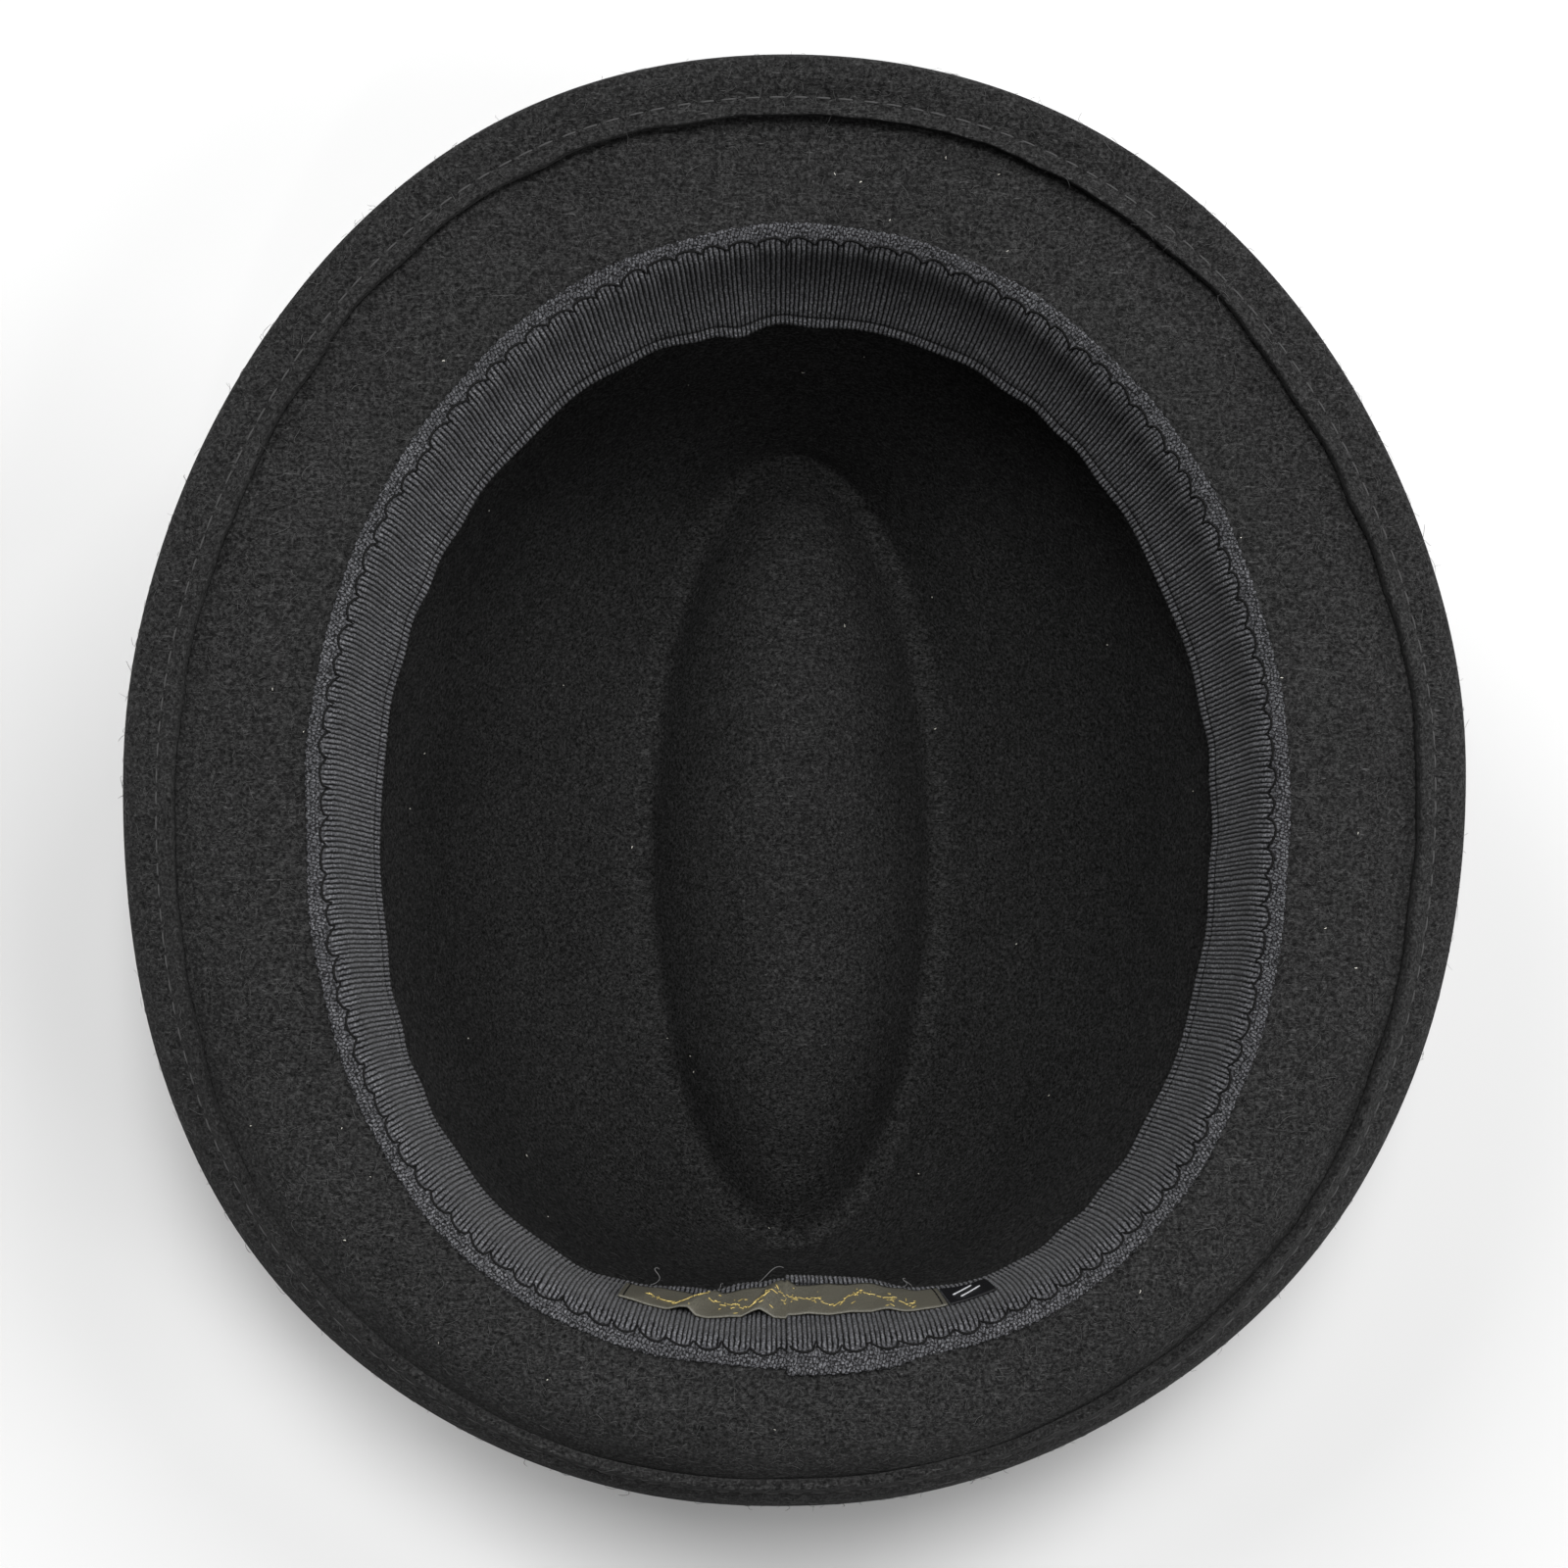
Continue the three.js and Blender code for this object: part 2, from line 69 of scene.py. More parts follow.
# drop, side, end, back, lean, square
WALL = [
    (0.09, 0.01, 0.03, 0.02, 0, 1), (0.17, 0.03, 0.1, 0.08, 0, 1), (0.27, 0.08, 0.2, 0.22, 0.1, 0.9),
    (0.4, 0.15, 0.33, 0.39, 0.3, 0.8), (0.55, 0.26, 0.46, 0.55, 0.6, 0.6), (0.69, 0.4, 0.59, 0.72, 0.9, 0.5),
    (0.81, 0.58, 0.73, 0.89, 1, 0.3), (0.9, 0.76, 0.85, 0.98, 0.8, 0.2), (0.96, 0.9, 0.94, 1, 0.4, 0.1)]
RIM_SIDES = [1, 0, -1]
DENT_SECTIONS = [0.9, 0.79, 0.66, 0.52, 0.36, 0.18, 0]
DENT_END_POWER, DENT_SIDE_POWER, RIM_LIFT_POWER = 0.6, 2.2, 4
FLARE = [0.35, 0.7, 0.8, 1.15, 0.85, 0.7, 0.5, 0.1, 0, 0, 0, 0.3]
CORNER_ROW = len(BRIM_SECTIONS)
RIM_ROW = CORNER_ROW + 1 + len(WALL)
LAST_ROW = RIM_ROW + len(RIM_SIDES) - 1 + len(DENT_SECTIONS)
TURN = 2 * np.pi
BACK = 0.75 * TURN

# What only the render shows
BAND_THICK = 0.55
RIB_PITCH, RIB_HEIGHT = 0.93, 0.22
ZIGZAG_AT, ZIGZAG_REACH, ZIGZAG_PITCH = 2.4, 0.42, 5.0
STITCH_AT, STITCH_PITCH, STITCH_LENGTH = 7.9, 4.3, 2.9
STITCH_RADIUS, ZIGZAG_RADIUS = 0.2, 0.23
LABEL_THICK = 0.3
# how deep and wide the stitches draw the folded edge in, how far outside them, and how it swells beside them
GROOVE_DEPTH, GROOVE_WIDTH, GROOVE_SHIFT, PUFF = 0.55, 1.3, 0.5, 0.35
# uneven felt: height, size and seed of its broad and its small swells
SWELLS = [(0.35, 26, 1), (0.12, 8, 2)]
# how the ribbon's free edge waves: where, in degrees, how wide and how far off the felt
EDGE_WAVES = [(98.5, 3.0, 1.3), (103.5, 2.2, 0.7), (91, 2.6, -0.5), (60, 4, 0.3), (130, 5, 0.3),
              (160, 4, -0.2)]
# the same at the back, along X
BACK_WAVES = [(-44, 0), (-38, 0.6), (-32, 0.5), (-28, 0.7), (-22, -0.3), (-17, -0.9), (-12, -0.3),
              (-7, -0.6), (-3.5, 0.1), (3, 0.3), (9, 0.3), (16, 0.1), (24, -0.2), (30, 0.5), (36, 0.7),
              (42, 0)]
# from the ribbon's edge on the brim to its free edge, where its sections lie
SECTIONS = np.array([0, 0.35, 1.2, 2.2, 3.1, 4.0, 5.0, 6.5, 9, 12.5, 16.5, 20.5, 24, 25.5, 25.95, 26.4,
                     27.6, 28.0])
CREASE_AT = 25.95
# how far the label stands off the ribbon and how far it slips towards the brim, along X
LABEL_WAVES = [(-34, 0.1), (-29, 0.5), (-26, 0.2), (-22.5, 0.3), (-20, 2.0), (-18.6, 2.4), (-17, 0.7),
               (-15, 0.15), (-11, 0.5), (-8.5, 0.3), (-6.4, 2.0), (-5, 2.7), (-3.6, 1.4), (-2.2, 0.2),
               (1, 0.3), (4, 0.9), (8, 0.3), (12, 0.8), (16, 0.25), (19.5, 0.9), (22, 0.3), (26, 0.4),
               (28.5, 0.1)]
LABEL_DROPS = [(-34, 0), (-27, 0.1), (-22.5, 0.7), (-19, 1.8), (-15, 1.0), (-11, 0.1), (-6, -0.3),
               (0, 0.8), (8, 0.6), (16, 0.0), (22, 0.3), (28, 0.3)]
# how far along X a fold moves from the label's lower side to its upper one
FOLD_LEAN = 5.0
# the part of the label's height that its folds take up
FOLDED_AWAY = 0.8
TAB_HEIGHT = 10.0
# where along X, how far the thread reaches into the hollow, how far it runs sideways, how much it loops
LOOSE_THREADS = [(-29.5, 3.4, 0.8, 1.3), (-7.6, 3.0, 4.6, 0.0), (22.5, 1.6, 0.7, 0.6), (24.0, 1.2, -0.8, 0.3),
                 (-16.0, 1.1, 0.9, 0.2)]
# the camera, across, along and above the middle of the opening, and what it looks at in the opening's plane
LENS, CAMERA_PLACE, CAMERA_TARGET = 75.2, (-9.8, -20.2, 600.0), (-2.6, 1.4)
# name, place and the height it points at in metres, size in metres, watts
SOFTBOXES = [
    ("overhead", (0.1, 0.85, 3.0), 0.0, (0.8, 0.8), 86),
    ("front_right", (1.2, 1.4, 2.4), 0.1, (0.9, 0.9), 32),
    ("front_left", (-1.2, 1.3, 2.4), 0.1, (0.9, 0.9), 30),
    ("rear_right", (1.5, -0.7, 2.5), 0.1, (0.8, 0.8), 20),
    ("low_right", (2.9, 0.1, 0.85), 0.1, (1.0, 0.6), 52),
    ("low_left", (-2.4, 1.5, 0.9), 0.1, (1.0, 0.7), 26)]
# a narrow beam from the rear that reaches the front of the hollow
BEAM_PLACE, BEAM_TARGET, BEAM_DEGREES, BEAM_WATTS = (0.0, -0.95, 1.9), (0, 0.035, 0.03), 7.5, 38
FLOOR_TONE, WORLD_STRENGTH = 0.56, 0.05


def smooth(t):
    t = np.clip(t, 0, 1)
    return t * t * (3 - 2 * t)


def unit(v):
    return v / np.maximum(np.linalg.norm(v, axis=-1, keepdims=True), 1e-12)


def run_along(points):
    """Lengths from the first point, along the first axis of points (..., 3)."""
    steps = np.linalg.norm(np.diff(points, axis=0), axis=-1)
    return np.concatenate([np.zeros((1, *steps.shape[1:])), steps.cumsum(0)])


def around(values, angle):
    """Values given at even angles, read at any angle."""
    values = np.asarray(values, float)
    count = len(values)
    place = (np.asarray(angle) / TURN % 1) * count
    first = np.floor(place).astype(int)
    t = place - first
    a, b, c, d = (values[(first + k) % count] for k in (-1, 0, 1, 2))
    return b + 0.5 * t * (c - a + t * (2 * a - 5 * b + 4 * c - d + t * (3 * (b - c) + d - a)))


def oval(angle, half_width, half_length, square):
    """The head's outline, squarer towards the back."""
    c, s = np.cos(angle), np.sin(angle)
    power = 2 / (2 + OVAL_SQUARENESS * square * smooth(0.5 - s / 0.6))
    return half_width * np.sign(c) * abs(c) ** power, half_length * np.sign(s) * abs(s) ** power


def brim_reach(angle, distance):
    """How far out and how far up the brim is at a distance from its bend."""
    width = BRIM_WIDTH * around(BRIM[:, 0], angle)
    at_bend, at_edge = around(BRIM[:, 1], angle), around(BRIM[:, 2], angle)
    count = 24
    step = distance / count
    out, rise = 0, 0
    for i in range(count):
        across = (i + 0.5) * step / width
        slope = np.radians(at_bend + (at_edge - at_bend) * smooth((across - SLOPE_START) / SLOPE_SPAN))
        out = out + step * np.cos(slope)
        rise = rise + step * np.sin(slope)
    return out, rise


def controls(angle):
    """Control points of the felt's middle surface, (rows, angles, 3)."""
    angle = np.asarray(angle, float)
    seat = BAND_SEAT + SEAT_GAP + FELT / 2
    half_width, half_length = HEAD_WIDTH / 2 + seat, HEAD_LENGTH / 2 + seat
    c, s = np.cos(angle), np.sin(angle)
    rows = []
    width = BRIM_WIDTH * around(BRIM[:, 0], angle)
    for share in BRIM_SECTIONS:
        out, rise = brim_reach(angle, share * width)
        x, y = oval(angle, half_width + out, half_length + out, 1 - BRIM_ROUNDING * share)
        rows.append(np.stack([x, y, CROWN_HEIGHT + rise], -1))
    x, y = oval(angle, half_width, half_length, 1)
    rows.append(np.stack([x, y, np.full_like(x, CROWN_HEIGHT)], -1))
    lift = np.where(s > 0, RIM_FRONT_LIFT, RIM_REAR_LIFT) * abs(s) ** RIM_LIFT_POWER
    rim_x, rim_y = (RIM_WIDTH + RIM_BREADTH) / 2, (RIM_LENGTH + RIM_BREADTH) / 2
    for drop, side, end, back, lean, square in WALL:
        x, y = oval(angle, half_width + (rim_x - half_width) * side,
                    half_length + (rim_y - half_length) * end, square)
        z = CROWN_HEIGHT + (lift - CROWN_HEIGHT) * drop
        rows.append(np.stack([x - CROWN_LEAN * lean, y - RIM_SETBACK * back, z], -1))
    for side in RIM_SIDES:
        rows.append(np.stack([(RIM_WIDTH + side * RIM_BREADTH) / 2 * c,
                              (RIM_LENGTH + side * RIM_BREADTH) / 2 * s - RIM_SETBACK, lift], -1))
    dent_x, dent_y = (RIM_WIDTH - RIM_BREADTH) / 2, (RIM_LENGTH - RIM_BREADTH) / 2
    for share in DENT_SECTIONS:
        along = share * s
        room = 1 - along ** 2
        across = share * abs(c) / np.sqrt(room)
        depth = room ** DENT_END_POWER * (1 - across ** DENT_SIDE_POWER)
        z = lift + (DENT_DEPTH - lift) * depth
        rows.append(np.stack([dent_x * share * c, dent_y * along - RIM_SETBACK, z], -1))
    rows[-1][..., 2] = (3 * DENT_DEPTH - rows[-2][..., 2]) / 2
    return np.array(rows)


def curve(rows, places):
    """Points at places (K, M) along M columns of control points."""
    last = len(rows) - 1
    start = 2 * rows[:1] - rows[1:2]
    end = np.concatenate([2 * rows[-1:, :, :2] - rows[-2:-1, :, :2], rows[-2:-1, :, 2:]], -1)
    points = np.concatenate([start, rows, end])
    first = np.minimum(np.floor(places).astype(int), last - 1)
    t = (places - first)[..., None]
    columns = np.arange(rows.shape[1])
    weights = [(1 - t) ** 3, 3 * t ** 3 - 6 * t ** 2 + 4, -3 * t ** 3 + 3 * t ** 2 + 3 * t + 1, t ** 3]
    return sum(w * points[first + k, columns] for k, w in enumerate(weights)) / 6


def columns_of(places, count):
    return np.repeat(np.asarray(places, float)[:, None], count, 1)


def rest_offset():
    """How far the crown is lifted so that its pressed rim lies on the floor."""
    rows = controls(np.arange(60) * TURN / 60)
    lowest = curve(rows, columns_of(RIM_ROW + np.arange(9) / 4, 60))[..., 2].min()
    return FELT / 2 - REST_PRESS - lowest


REST_OFFSET = rest_offset()


def frames(angles, places):
    """Points of the felt's middle, tangents towards the edge and normals towards the head, (K, M, 3)."""
    step, turn = 0.02, 0.01
    rows = controls(angles)
    point = curve(rows, places)
    outer = curve(rows, np.maximum(places - step, 0))
    inner = curve(rows, np.minimum(places + step, len(rows) - 1))
    tangent = unit(outer - inner)
    across = curve(controls(angles + turn), places) - curve(controls(angles - turn), places)
    normal = unit(np.cross(tangent, across))
    normal[places >= len(rows) - 1] = (0, 0, 1)
    return point + (0, 0, REST_OFFSET), tangent, normal


def places_at(angles, distances):
    """Places at distances (K, M) from the bend, positive towards the edge, and the brim's width (M,)."""
    places = np.linspace(0, RIM_ROW - 1, (RIM_ROW - 1) * 12 + 1)
    dense = curve(controls(angles), columns_of(places, len(angles)))
    arc = run_along(dense)
    bend = arc[CORNER_ROW * 12]
    found = np.empty_like(distances)
    for m in range(len(angles)):
        found[:, m] = np.interp(bend[m] - distances[:, m], arc[:, m], places)
    return found, bend


def felt_at(angles, distances):
    places, _ = places_at(angles, distances)
    return frames(angles, places)


def brim_width(angles):
    return places_at(angles, np.zeros((1, len(angles))))[1]


def back_angle(x):
    """The angle of a place along X at the back of the oval."""
    share = np.abs(x) / (HEAD_WIDTH / 2)
    return BACK + np.sign(x) * np.arcsin(share ** ((2 + OVAL_SQUARENESS) / 2))


def back_x(angle):
    """The place along X of an angle at the back of the oval."""
    share = np.abs(np.sin(angle - BACK)) ** (2 / (2 + OVAL_SQUARENESS))
    return HEAD_WIDTH / 2 * np.sign(angle - BACK) * share


def wander(t, seed, pitch):
    """Smooth noise of about -1 to 1 along a line."""
    t = np.ravel(t) / pitch
    return np.array([noise.noise(Vector((float(v), seed * 7.3, seed * 3.1))) for v in t]) * 1.6


def field(points, size, seed):
    """Smooth noise of about -1 to 1 in space, for points (..., 3) in millimetres."""
    flat = (points.reshape(-1, 3) / size + seed * 11.7).tolist()
    values = [noise.noise(Vector(p)) for p in flat]
    return np.array(values).reshape(points.shape[:-1]) * 1.6


# Meshes
shift = np.zeros(3)


def mesh_object(name, points, faces, cloth, uv=None):
    """A smooth mesh from points in millimetres and quads, with one uv pair for each point.

    A quad that has its last corner twice is a triangle.
    """
    mesh = bpy.data.meshes.new(name)
    points = (np.asarray(points, float) + shift) * 0.001
    faces = np.asarray(faces, np.int32)
    sizes = np.where(faces[:, 2] == faces[:, 3], 3, 4).astype(np.int32)
    corners = faces[np.arange(4) < sizes[:, None]]
    mesh.vertices.add(len(points))
    mesh.vertices.foreach_set("co", points.astype(np.float32).ravel())
    mesh.loops.add(len(corners))
    mesh.loops.foreach_set("vertex_index", corners)
    mesh.polygons.add(len(faces))
    mesh.polygons.foreach_set("loop_start", np.concatenate([[0], sizes.cumsum()[:-1]]).astype(np.int32))
    mesh.update(calc_edges=True)
    if uv is not None:
        layer = mesh.uv_layers.new(name="cloth")
        layer.data.foreach_set("uv", np.asarray(uv, np.float32)[corners].ravel())
    mesh.validate()
    mesh.polygons.foreach_set("use_smooth", np.ones(len(mesh.polygons), bool))
    mesh.materials.append(cloth)
    made = bpy.data.objects.new(name, mesh)
    bpy.context.scene.collection.objects.link(made)
    return made


def sheet_faces(rows, across, closed, pole):
    """Quads of a closed body from two grids (rows, across), the upper one first."""
    top = np.arange(rows * across).reshape(rows, across)
    low = top + rows * across
    if pole:
        top[-1] = top[-1, 0]
        low[-1] = low[-1, 0]
    if closed:
        top, low = (np.concatenate([g, g[:, :1]], 1) for g in (top, low))
    quads = [
        np.stack([top[:-1, :-1], top[:-1, 1:], top[1:, 1:], top[1:, :-1]], -1).reshape(-1, 4),
        np.stack([low[:-1, :-1], low[1:, :-1], low[1:, 1:], low[:-1, 1:]], -1).reshape(-1, 4),
        np.stack([low[0, :-1], low[0, 1:], top[0, 1:], top[0, :-1]], -1),
    ]
    if not pole:
        quads.append(np.stack([top[-1, :-1], top[-1, 1:], low[-1, 1:], low[-1, :-1]], -1))
    if not closed:
        quads.append(np.stack([top[:-1, 0], top[1:, 0], low[1:, 0], low[:-1, 0]], -1))
        quads.append(np.stack([low[:-1, -1], low[1:, -1], top[1:, -1], top[:-1, -1]], -1))
    quads = np.concatenate(quads)
    first = quads[:, 0] == quads[:, 3]
    quads[first] = quads[first][:, [0, 1, 2, 2]]
    second = quads[:, 1] == quads[:, 2]
    quads[second] = quads[second][:, [0, 1, 3, 3]]
    return quads


class Strands:
    """Many thin threads in one mesh."""

    def __init__(self):
        self.points, self.faces, self.count = [], [], 0

    def add(self, path, radius, sides=5, flat=1.0, up=None):
        """A thread along path (n, 3). radius may vary along it, and flat makes it lower along up."""
        path = np.asarray(path, float)
        n = len(path)
        radius = np.broadcast_to(radius, n).astype(float)
        tangent = unit(np.gradient(path, axis=0))
        if up is None:
            up = np.where(abs(tangent[:, 2:]) < 0.9, (0, 0, 1.0), (1.0, 0, 0))
        up = np.broadcast_to(up, path.shape)
        side = unit(np.cross(tangent, up))
        top = np.cross(side, tangent)
        turn = np.arange(sides) / sides * TURN
        ring = np.cos(turn)[None, :, None] * side[:, None]
        ring = ring + flat * np.sin(turn)[None, :, None] * top[:, None]
        rings = path[:, None] + ring * radius[:, None, None]
        ends = path[[0, -1]] + tangent[[0, -1]] * [[-0.6 * radius[0]], [0.6 * radius[-1]]]
        ids = np.arange(n * sides).reshape(n, sides) + self.count
        a, b = ids[:-1], ids[1:]
        wall = np.stack([a, np.roll(a, -1, 1), np.roll(b, -1, 1), b], -1).reshape(-1, 4)
        first, last = self.count + n * sides, self.count + n * sides + 1
        head = np.stack([np.roll(ids[0], -1), ids[0], np.full(sides, first), np.full(sides, first)], -1)
        tail = np.stack([ids[-1], np.roll(ids[-1], -1), np.full(sides, last), np.full(sides, last)], -1)
        self.points.append(np.concatenate([rings.reshape(-1, 3), ends]))
        self.faces += [wall, head, tail]
        self.count += n * sides + 2

    def add_many(self, paths, radius, up, sides=3):
        """Threads of the same number of points, (threads, points, 3). up is one direction for each."""
        threads, n = paths.shape[:2]
        tangent = unit(np.gradient(paths, axis=1))
        side = unit(np.cross(tangent, up[:, None]))
        top = np.cross(side, tangent)
        turn = (np.arange(sides) / sides * TURN)[:, None]
        rings = side[:, :, None] * np.cos(turn) + top[:, :, None] * np.sin(turn)
        rings = paths[:, :, None] + rings * np.asarray(radius)[..., None, None]
        ids = np.arange(threads * n * sides).reshape(threads, n, sides) + self.count
        a, b = ids[:, :-1], ids[:, 1:]
        wall = np.stack([a, np.roll(a, -1, 2), np.roll(b, -1, 2), b], -1).reshape(-1, 4)
        head, tail = ids[:, 0, ::-1], ids[:, -1]
        caps = [end[:, [0, 1, 2, 2]] if sides == 3 else end[:, :4] for end in (head, tail)]
        self.points.append(rings.reshape(-1, 3))
        self.faces += [wall, *caps]
        self.count += threads * n * sides

    def build(self, name, material):
        return mesh_object(name, np.concatenate(self.points), np.concatenate(self.faces), material)


# Materials
def material(name, colour, roughness, sheen=0.0, sheen_roughness=0.5, specular=0.3):
    made = bpy.data.materials.new(name)
    made.use_nodes = True
    shader = made.node_tree.nodes["Principled BSDF"]
    shader.inputs["Base Color"].default_value = (*colour, 1)
    shader.inputs["Roughness"].default_value = roughness
    shader.inputs["Specular IOR Level"].default_value = specular
    shader.inputs["Sheen Weight"].default_value = sheen
    shader.inputs["Sheen Roughness"].default_value = sheen_roughness
    return made


class Nodes:
    """Short ways to wire a material's nodes."""

    def __init__(self, made):
        self.tree = made.node_tree
        self.shader = self.tree.nodes["Principled BSDF"]

    def new(self, kind, **values):
        node = self.tree.nodes.new(kind)
        for key, value in values.items():
            setattr(node, key, value)
        return node

    def link(self, a, b):
        self.tree.links.new(a, b)

    def coordinates(self, name="Object"):
        return self.new("ShaderNodeTexCoord").outputs[name]

    def mapping(self, source, scale=(1, 1, 1), rotation=(0, 0, 0)):
        node = self.new("ShaderNodeMapping")
        node.inputs["Scale"].default_value = scale
        node.inputs["Rotation"].default_value = rotation
        self.link(source, node.inputs["Vector"])
        return node.outputs["Vector"]

    def noise(self, source, scale, detail=3, roughness=0.55, distortion=0.0):
        node = self.new("ShaderNodeTexNoise")
        node.inputs["Scale"].default_value = scale
        node.inputs["Detail"].default_value = detail
        node.inputs["Roughness"].default_value = roughness
        node.inputs["Distortion"].default_value = distortion
        self.link(source, node.inputs["Vector"])
        return node.outputs["Fac"]

    def math(self, operation, a, b=None, c=None):
        node = self.new("ShaderNodeMath", operation=operation)
        for socket, value in zip(node.inputs, (a, b, c)):
            if value is None:
                continue
            if isinstance(value, (int, float)):
                socket.default_value = value
            else:
                self.link(value, socket)
        return node.outputs[0]

    def hump(self, a):
        """Rises from 0 to 1 and falls back between each two whole numbers."""
        return self.math("SINE", self.math("MULTIPLY", self.math("FRACT", a), np.pi))

    def ramp(self, source, stops):
        node = self.new("ShaderNodeValToRGB")
        elements = node.color_ramp.elements
        while len(elements) < len(stops):
            elements.new(0.5)
        for element, (place, colour) in zip(elements, stops):
            element.position = place
            element.color = (*colour, 1)
        self.link(source, node.inputs["Fac"])
        return node.outputs["Color"]

    def mix(self, a, b, share, blend="MIX"):
        node = self.new("ShaderNodeMix", data_type="RGBA", blend_type=blend)
        for socket, value in ((node.inputs[0], share), (node.inputs[6], a), (node.inputs[7], b)):
            if isinstance(value, (int, float)):
                socket.default_value = value
            elif isinstance(value, tuple):
                socket.default_value = (*value, 1)
            else:
                self.link(value, socket)
        return node.outputs[2]

    def bump(self, height, strength, distance, normal=None):
        node = self.new("ShaderNodeBump")
        node.inputs["Strength"].default_value = strength
        node.inputs["Distance"].default_value = distance
        self.link(height, node.inputs["Height"])
        if normal is not None:
            self.link(normal, node.inputs["Normal"])
        return node.outputs["Normal"]


def grey(v, blue=0.0):
    """A grey of one tone, made bluer by a share."""
    return (v * (1 - 0.3 * blue), v * (1 - 0.1 * blue), v * (1 + blue))


def felt_material(name, tone, sheen):
    """Black wool felt with paler fibres."""
    made = material(name, grey(tone), 1.0, sheen=sheen, sheen_roughness=0.5, specular=0.05)
    n = Nodes(made)
    here = n.coordinates()
    grain = n.noise(here, 1500, 3, 0.7, 0.5)
    clumps = n.noise(here, 520, 3, 0.6, 0.6)
    broad = n.noise(here, 30, 3, 0.5)
    threads = []
    for turn in ((0.3, 0.2, 0.5), (1.1, 0.7, 2.1), (0.4, 1.3, 1.2)):
        stretched = n.mapping(here, (430, 2900, 2900), turn)
        threads.append(n.noise(stretched, 1.0, 2, 0.6, 1.2))
    fibres = n.math("MAXIMUM", n.math("MAXIMUM", threads[0], threads[1]), threads[2])
    base = n.ramp(grain, [(0.34, grey(0.25 * tone)), (0.5, grey(tone)), (0.66, grey(2.5 * tone))])
    base = n.mix(base, n.ramp(clumps, [(0.3, grey(0.74)), (0.7, grey(1.26))]), 0.7, "MULTIPLY")
    base = n.mix(base, n.ramp(broad, [(0.3, grey(0.86)), (0.7, grey(1.14))]), 0.7, "MULTIPLY")
    lit = n.ramp(fibres, [(0.60, grey(0.0)), (0.69, grey(1.0 * tone)), (0.78, grey(4.0 * tone))])
    base = n.mix(base, lit, 1.0, "ADD")
    n.link(base, n.shader.inputs["Base Color"])
    height = n.math("ADD", n.math("MULTIPLY", grain, 0.8), n.math("MULTIPLY", fibres, 0.9))
    n.link(n.bump(height, 0.6, 0.0005), n.shader.inputs["Normal"])
    return made


def ribbon_material():
    """Ribs across the ribbon by U, and the pressed hem with its zigzag seam by V, in millimetres."""
    made = material("grosgrain", grey(0.05, 0.2), 0.8, sheen=0.05, sheen_roughness=0.4, specular=0.12)
    n = Nodes(made)
    place = n.new("ShaderNodeSeparateXYZ")
    n.link(n.coordinates("UV"), place.inputs[0])
    rib, across = place.outputs["X"], place.outputs["Y"]
    here = n.coordinates()
    sway = n.math("MULTIPLY", n.math("SUBTRACT", n.noise(here, 900, 2, 0.5), 0.5), 0.55)
    swayed = n.math("ADD", rib, sway)
    # dark in the valleys between the ribs: painted shade
    rib_valley_shade = n.ramp(n.hump(swayed), [(0.0, grey(0.004)), (0.38, grey(0.03)), (0.64, grey(0.82)),
                                     (0.95, grey(1.12))])
    slant = n.math("MULTIPLY", n.math("FRACT", swayed), 0.35)
    yarn = n.math("SINE", n.math("MULTIPLY", n.math("ADD", across, slant), 11.0))
    yarn = n.ramp(n.math("ADD", n.math("MULTIPLY", yarn, 0.5), 0.5), [(0.0, grey(0.62)), (0.6, grey(1.0))])
    speckle = n.noise(here, 2300, 2, 0.6)
    patchy = n.noise(here, 150, 3, 0.5)
    base = n.ramp(speckle, [(0.3, grey(0.026, 0.08)), (0.5, grey(0.066, 0.07)), (0.7, grey(0.165, 0.05))])
    base = n.mix(base, n.ramp(patchy, [(0.3, grey(0.8)), (0.7, grey(1.2))]), 0.7, "MULTIPLY")
    base = n.mix(base, yarn, 0.7, "MULTIPLY")
    hem = n.new("ShaderNodeMapRange")
    hem.inputs["From Min"].default_value = ZIGZAG_AT + 0.5
    hem.inputs["From Max"].default_value = ZIGZAG_AT - 0.5
    n.link(across, hem.inputs["Value"])
    # the hem's knot pattern: short crossed runs of yarn in uneven rows, with painted shade in the gaps
    # between them
    warp = n.math("MULTIPLY", n.math("SUBTRACT", n.noise(here, 900, 2, 0.5), 0.5), 3.2)
    row = n.math("ADD", n.math("MULTIPLY", across, 1.5), warp)
    odd = n.math("ADD", n.math("MULTIPLY", n.math("FLOOR", row), 0.5), n.math("MULTIPLY", warp, 0.4))
    bead = n.hump(n.math("ADD", n.math("MULTIPLY", rib, 1.3), odd))
    knot = n.math("MULTIPLY", bead, n.hump(row))
    knots_and_gap_shade = n.ramp(knot, [(0.0, grey(0.03)), (0.2, grey(0.2)), (0.55, grey(0.86))])
    weave_with_shade = n.mix(rib_valley_shade, knots_and_gap_shade, hem.outputs["Result"])
    fold = n.math("ABSOLUTE", n.math("SUBTRACT", across, CREASE_AT))
    # a dark line along the fold of the free edge: painted shade in the crease
    crease_shade = n.ramp(fold, [(0.0, grey(0.05)), (0.14, grey(0.1)), (0.34, grey(1.0))])
    base = n.mix(base, weave_with_shade, 1.0, "MULTIPLY")
    base = n.mix(base, crease_shade, 0.9, "MULTIPLY")
    n.link(base, n.shader.inputs["Base Color"])
    height = n.math("ADD", n.math("MULTIPLY", speckle, 0.5), n.math("MULTIPLY", weave_with_shade, 0.6))
    n.link(n.bump(height, 0.6, 0.0003), n.shader.inputs["Normal"])
    return made


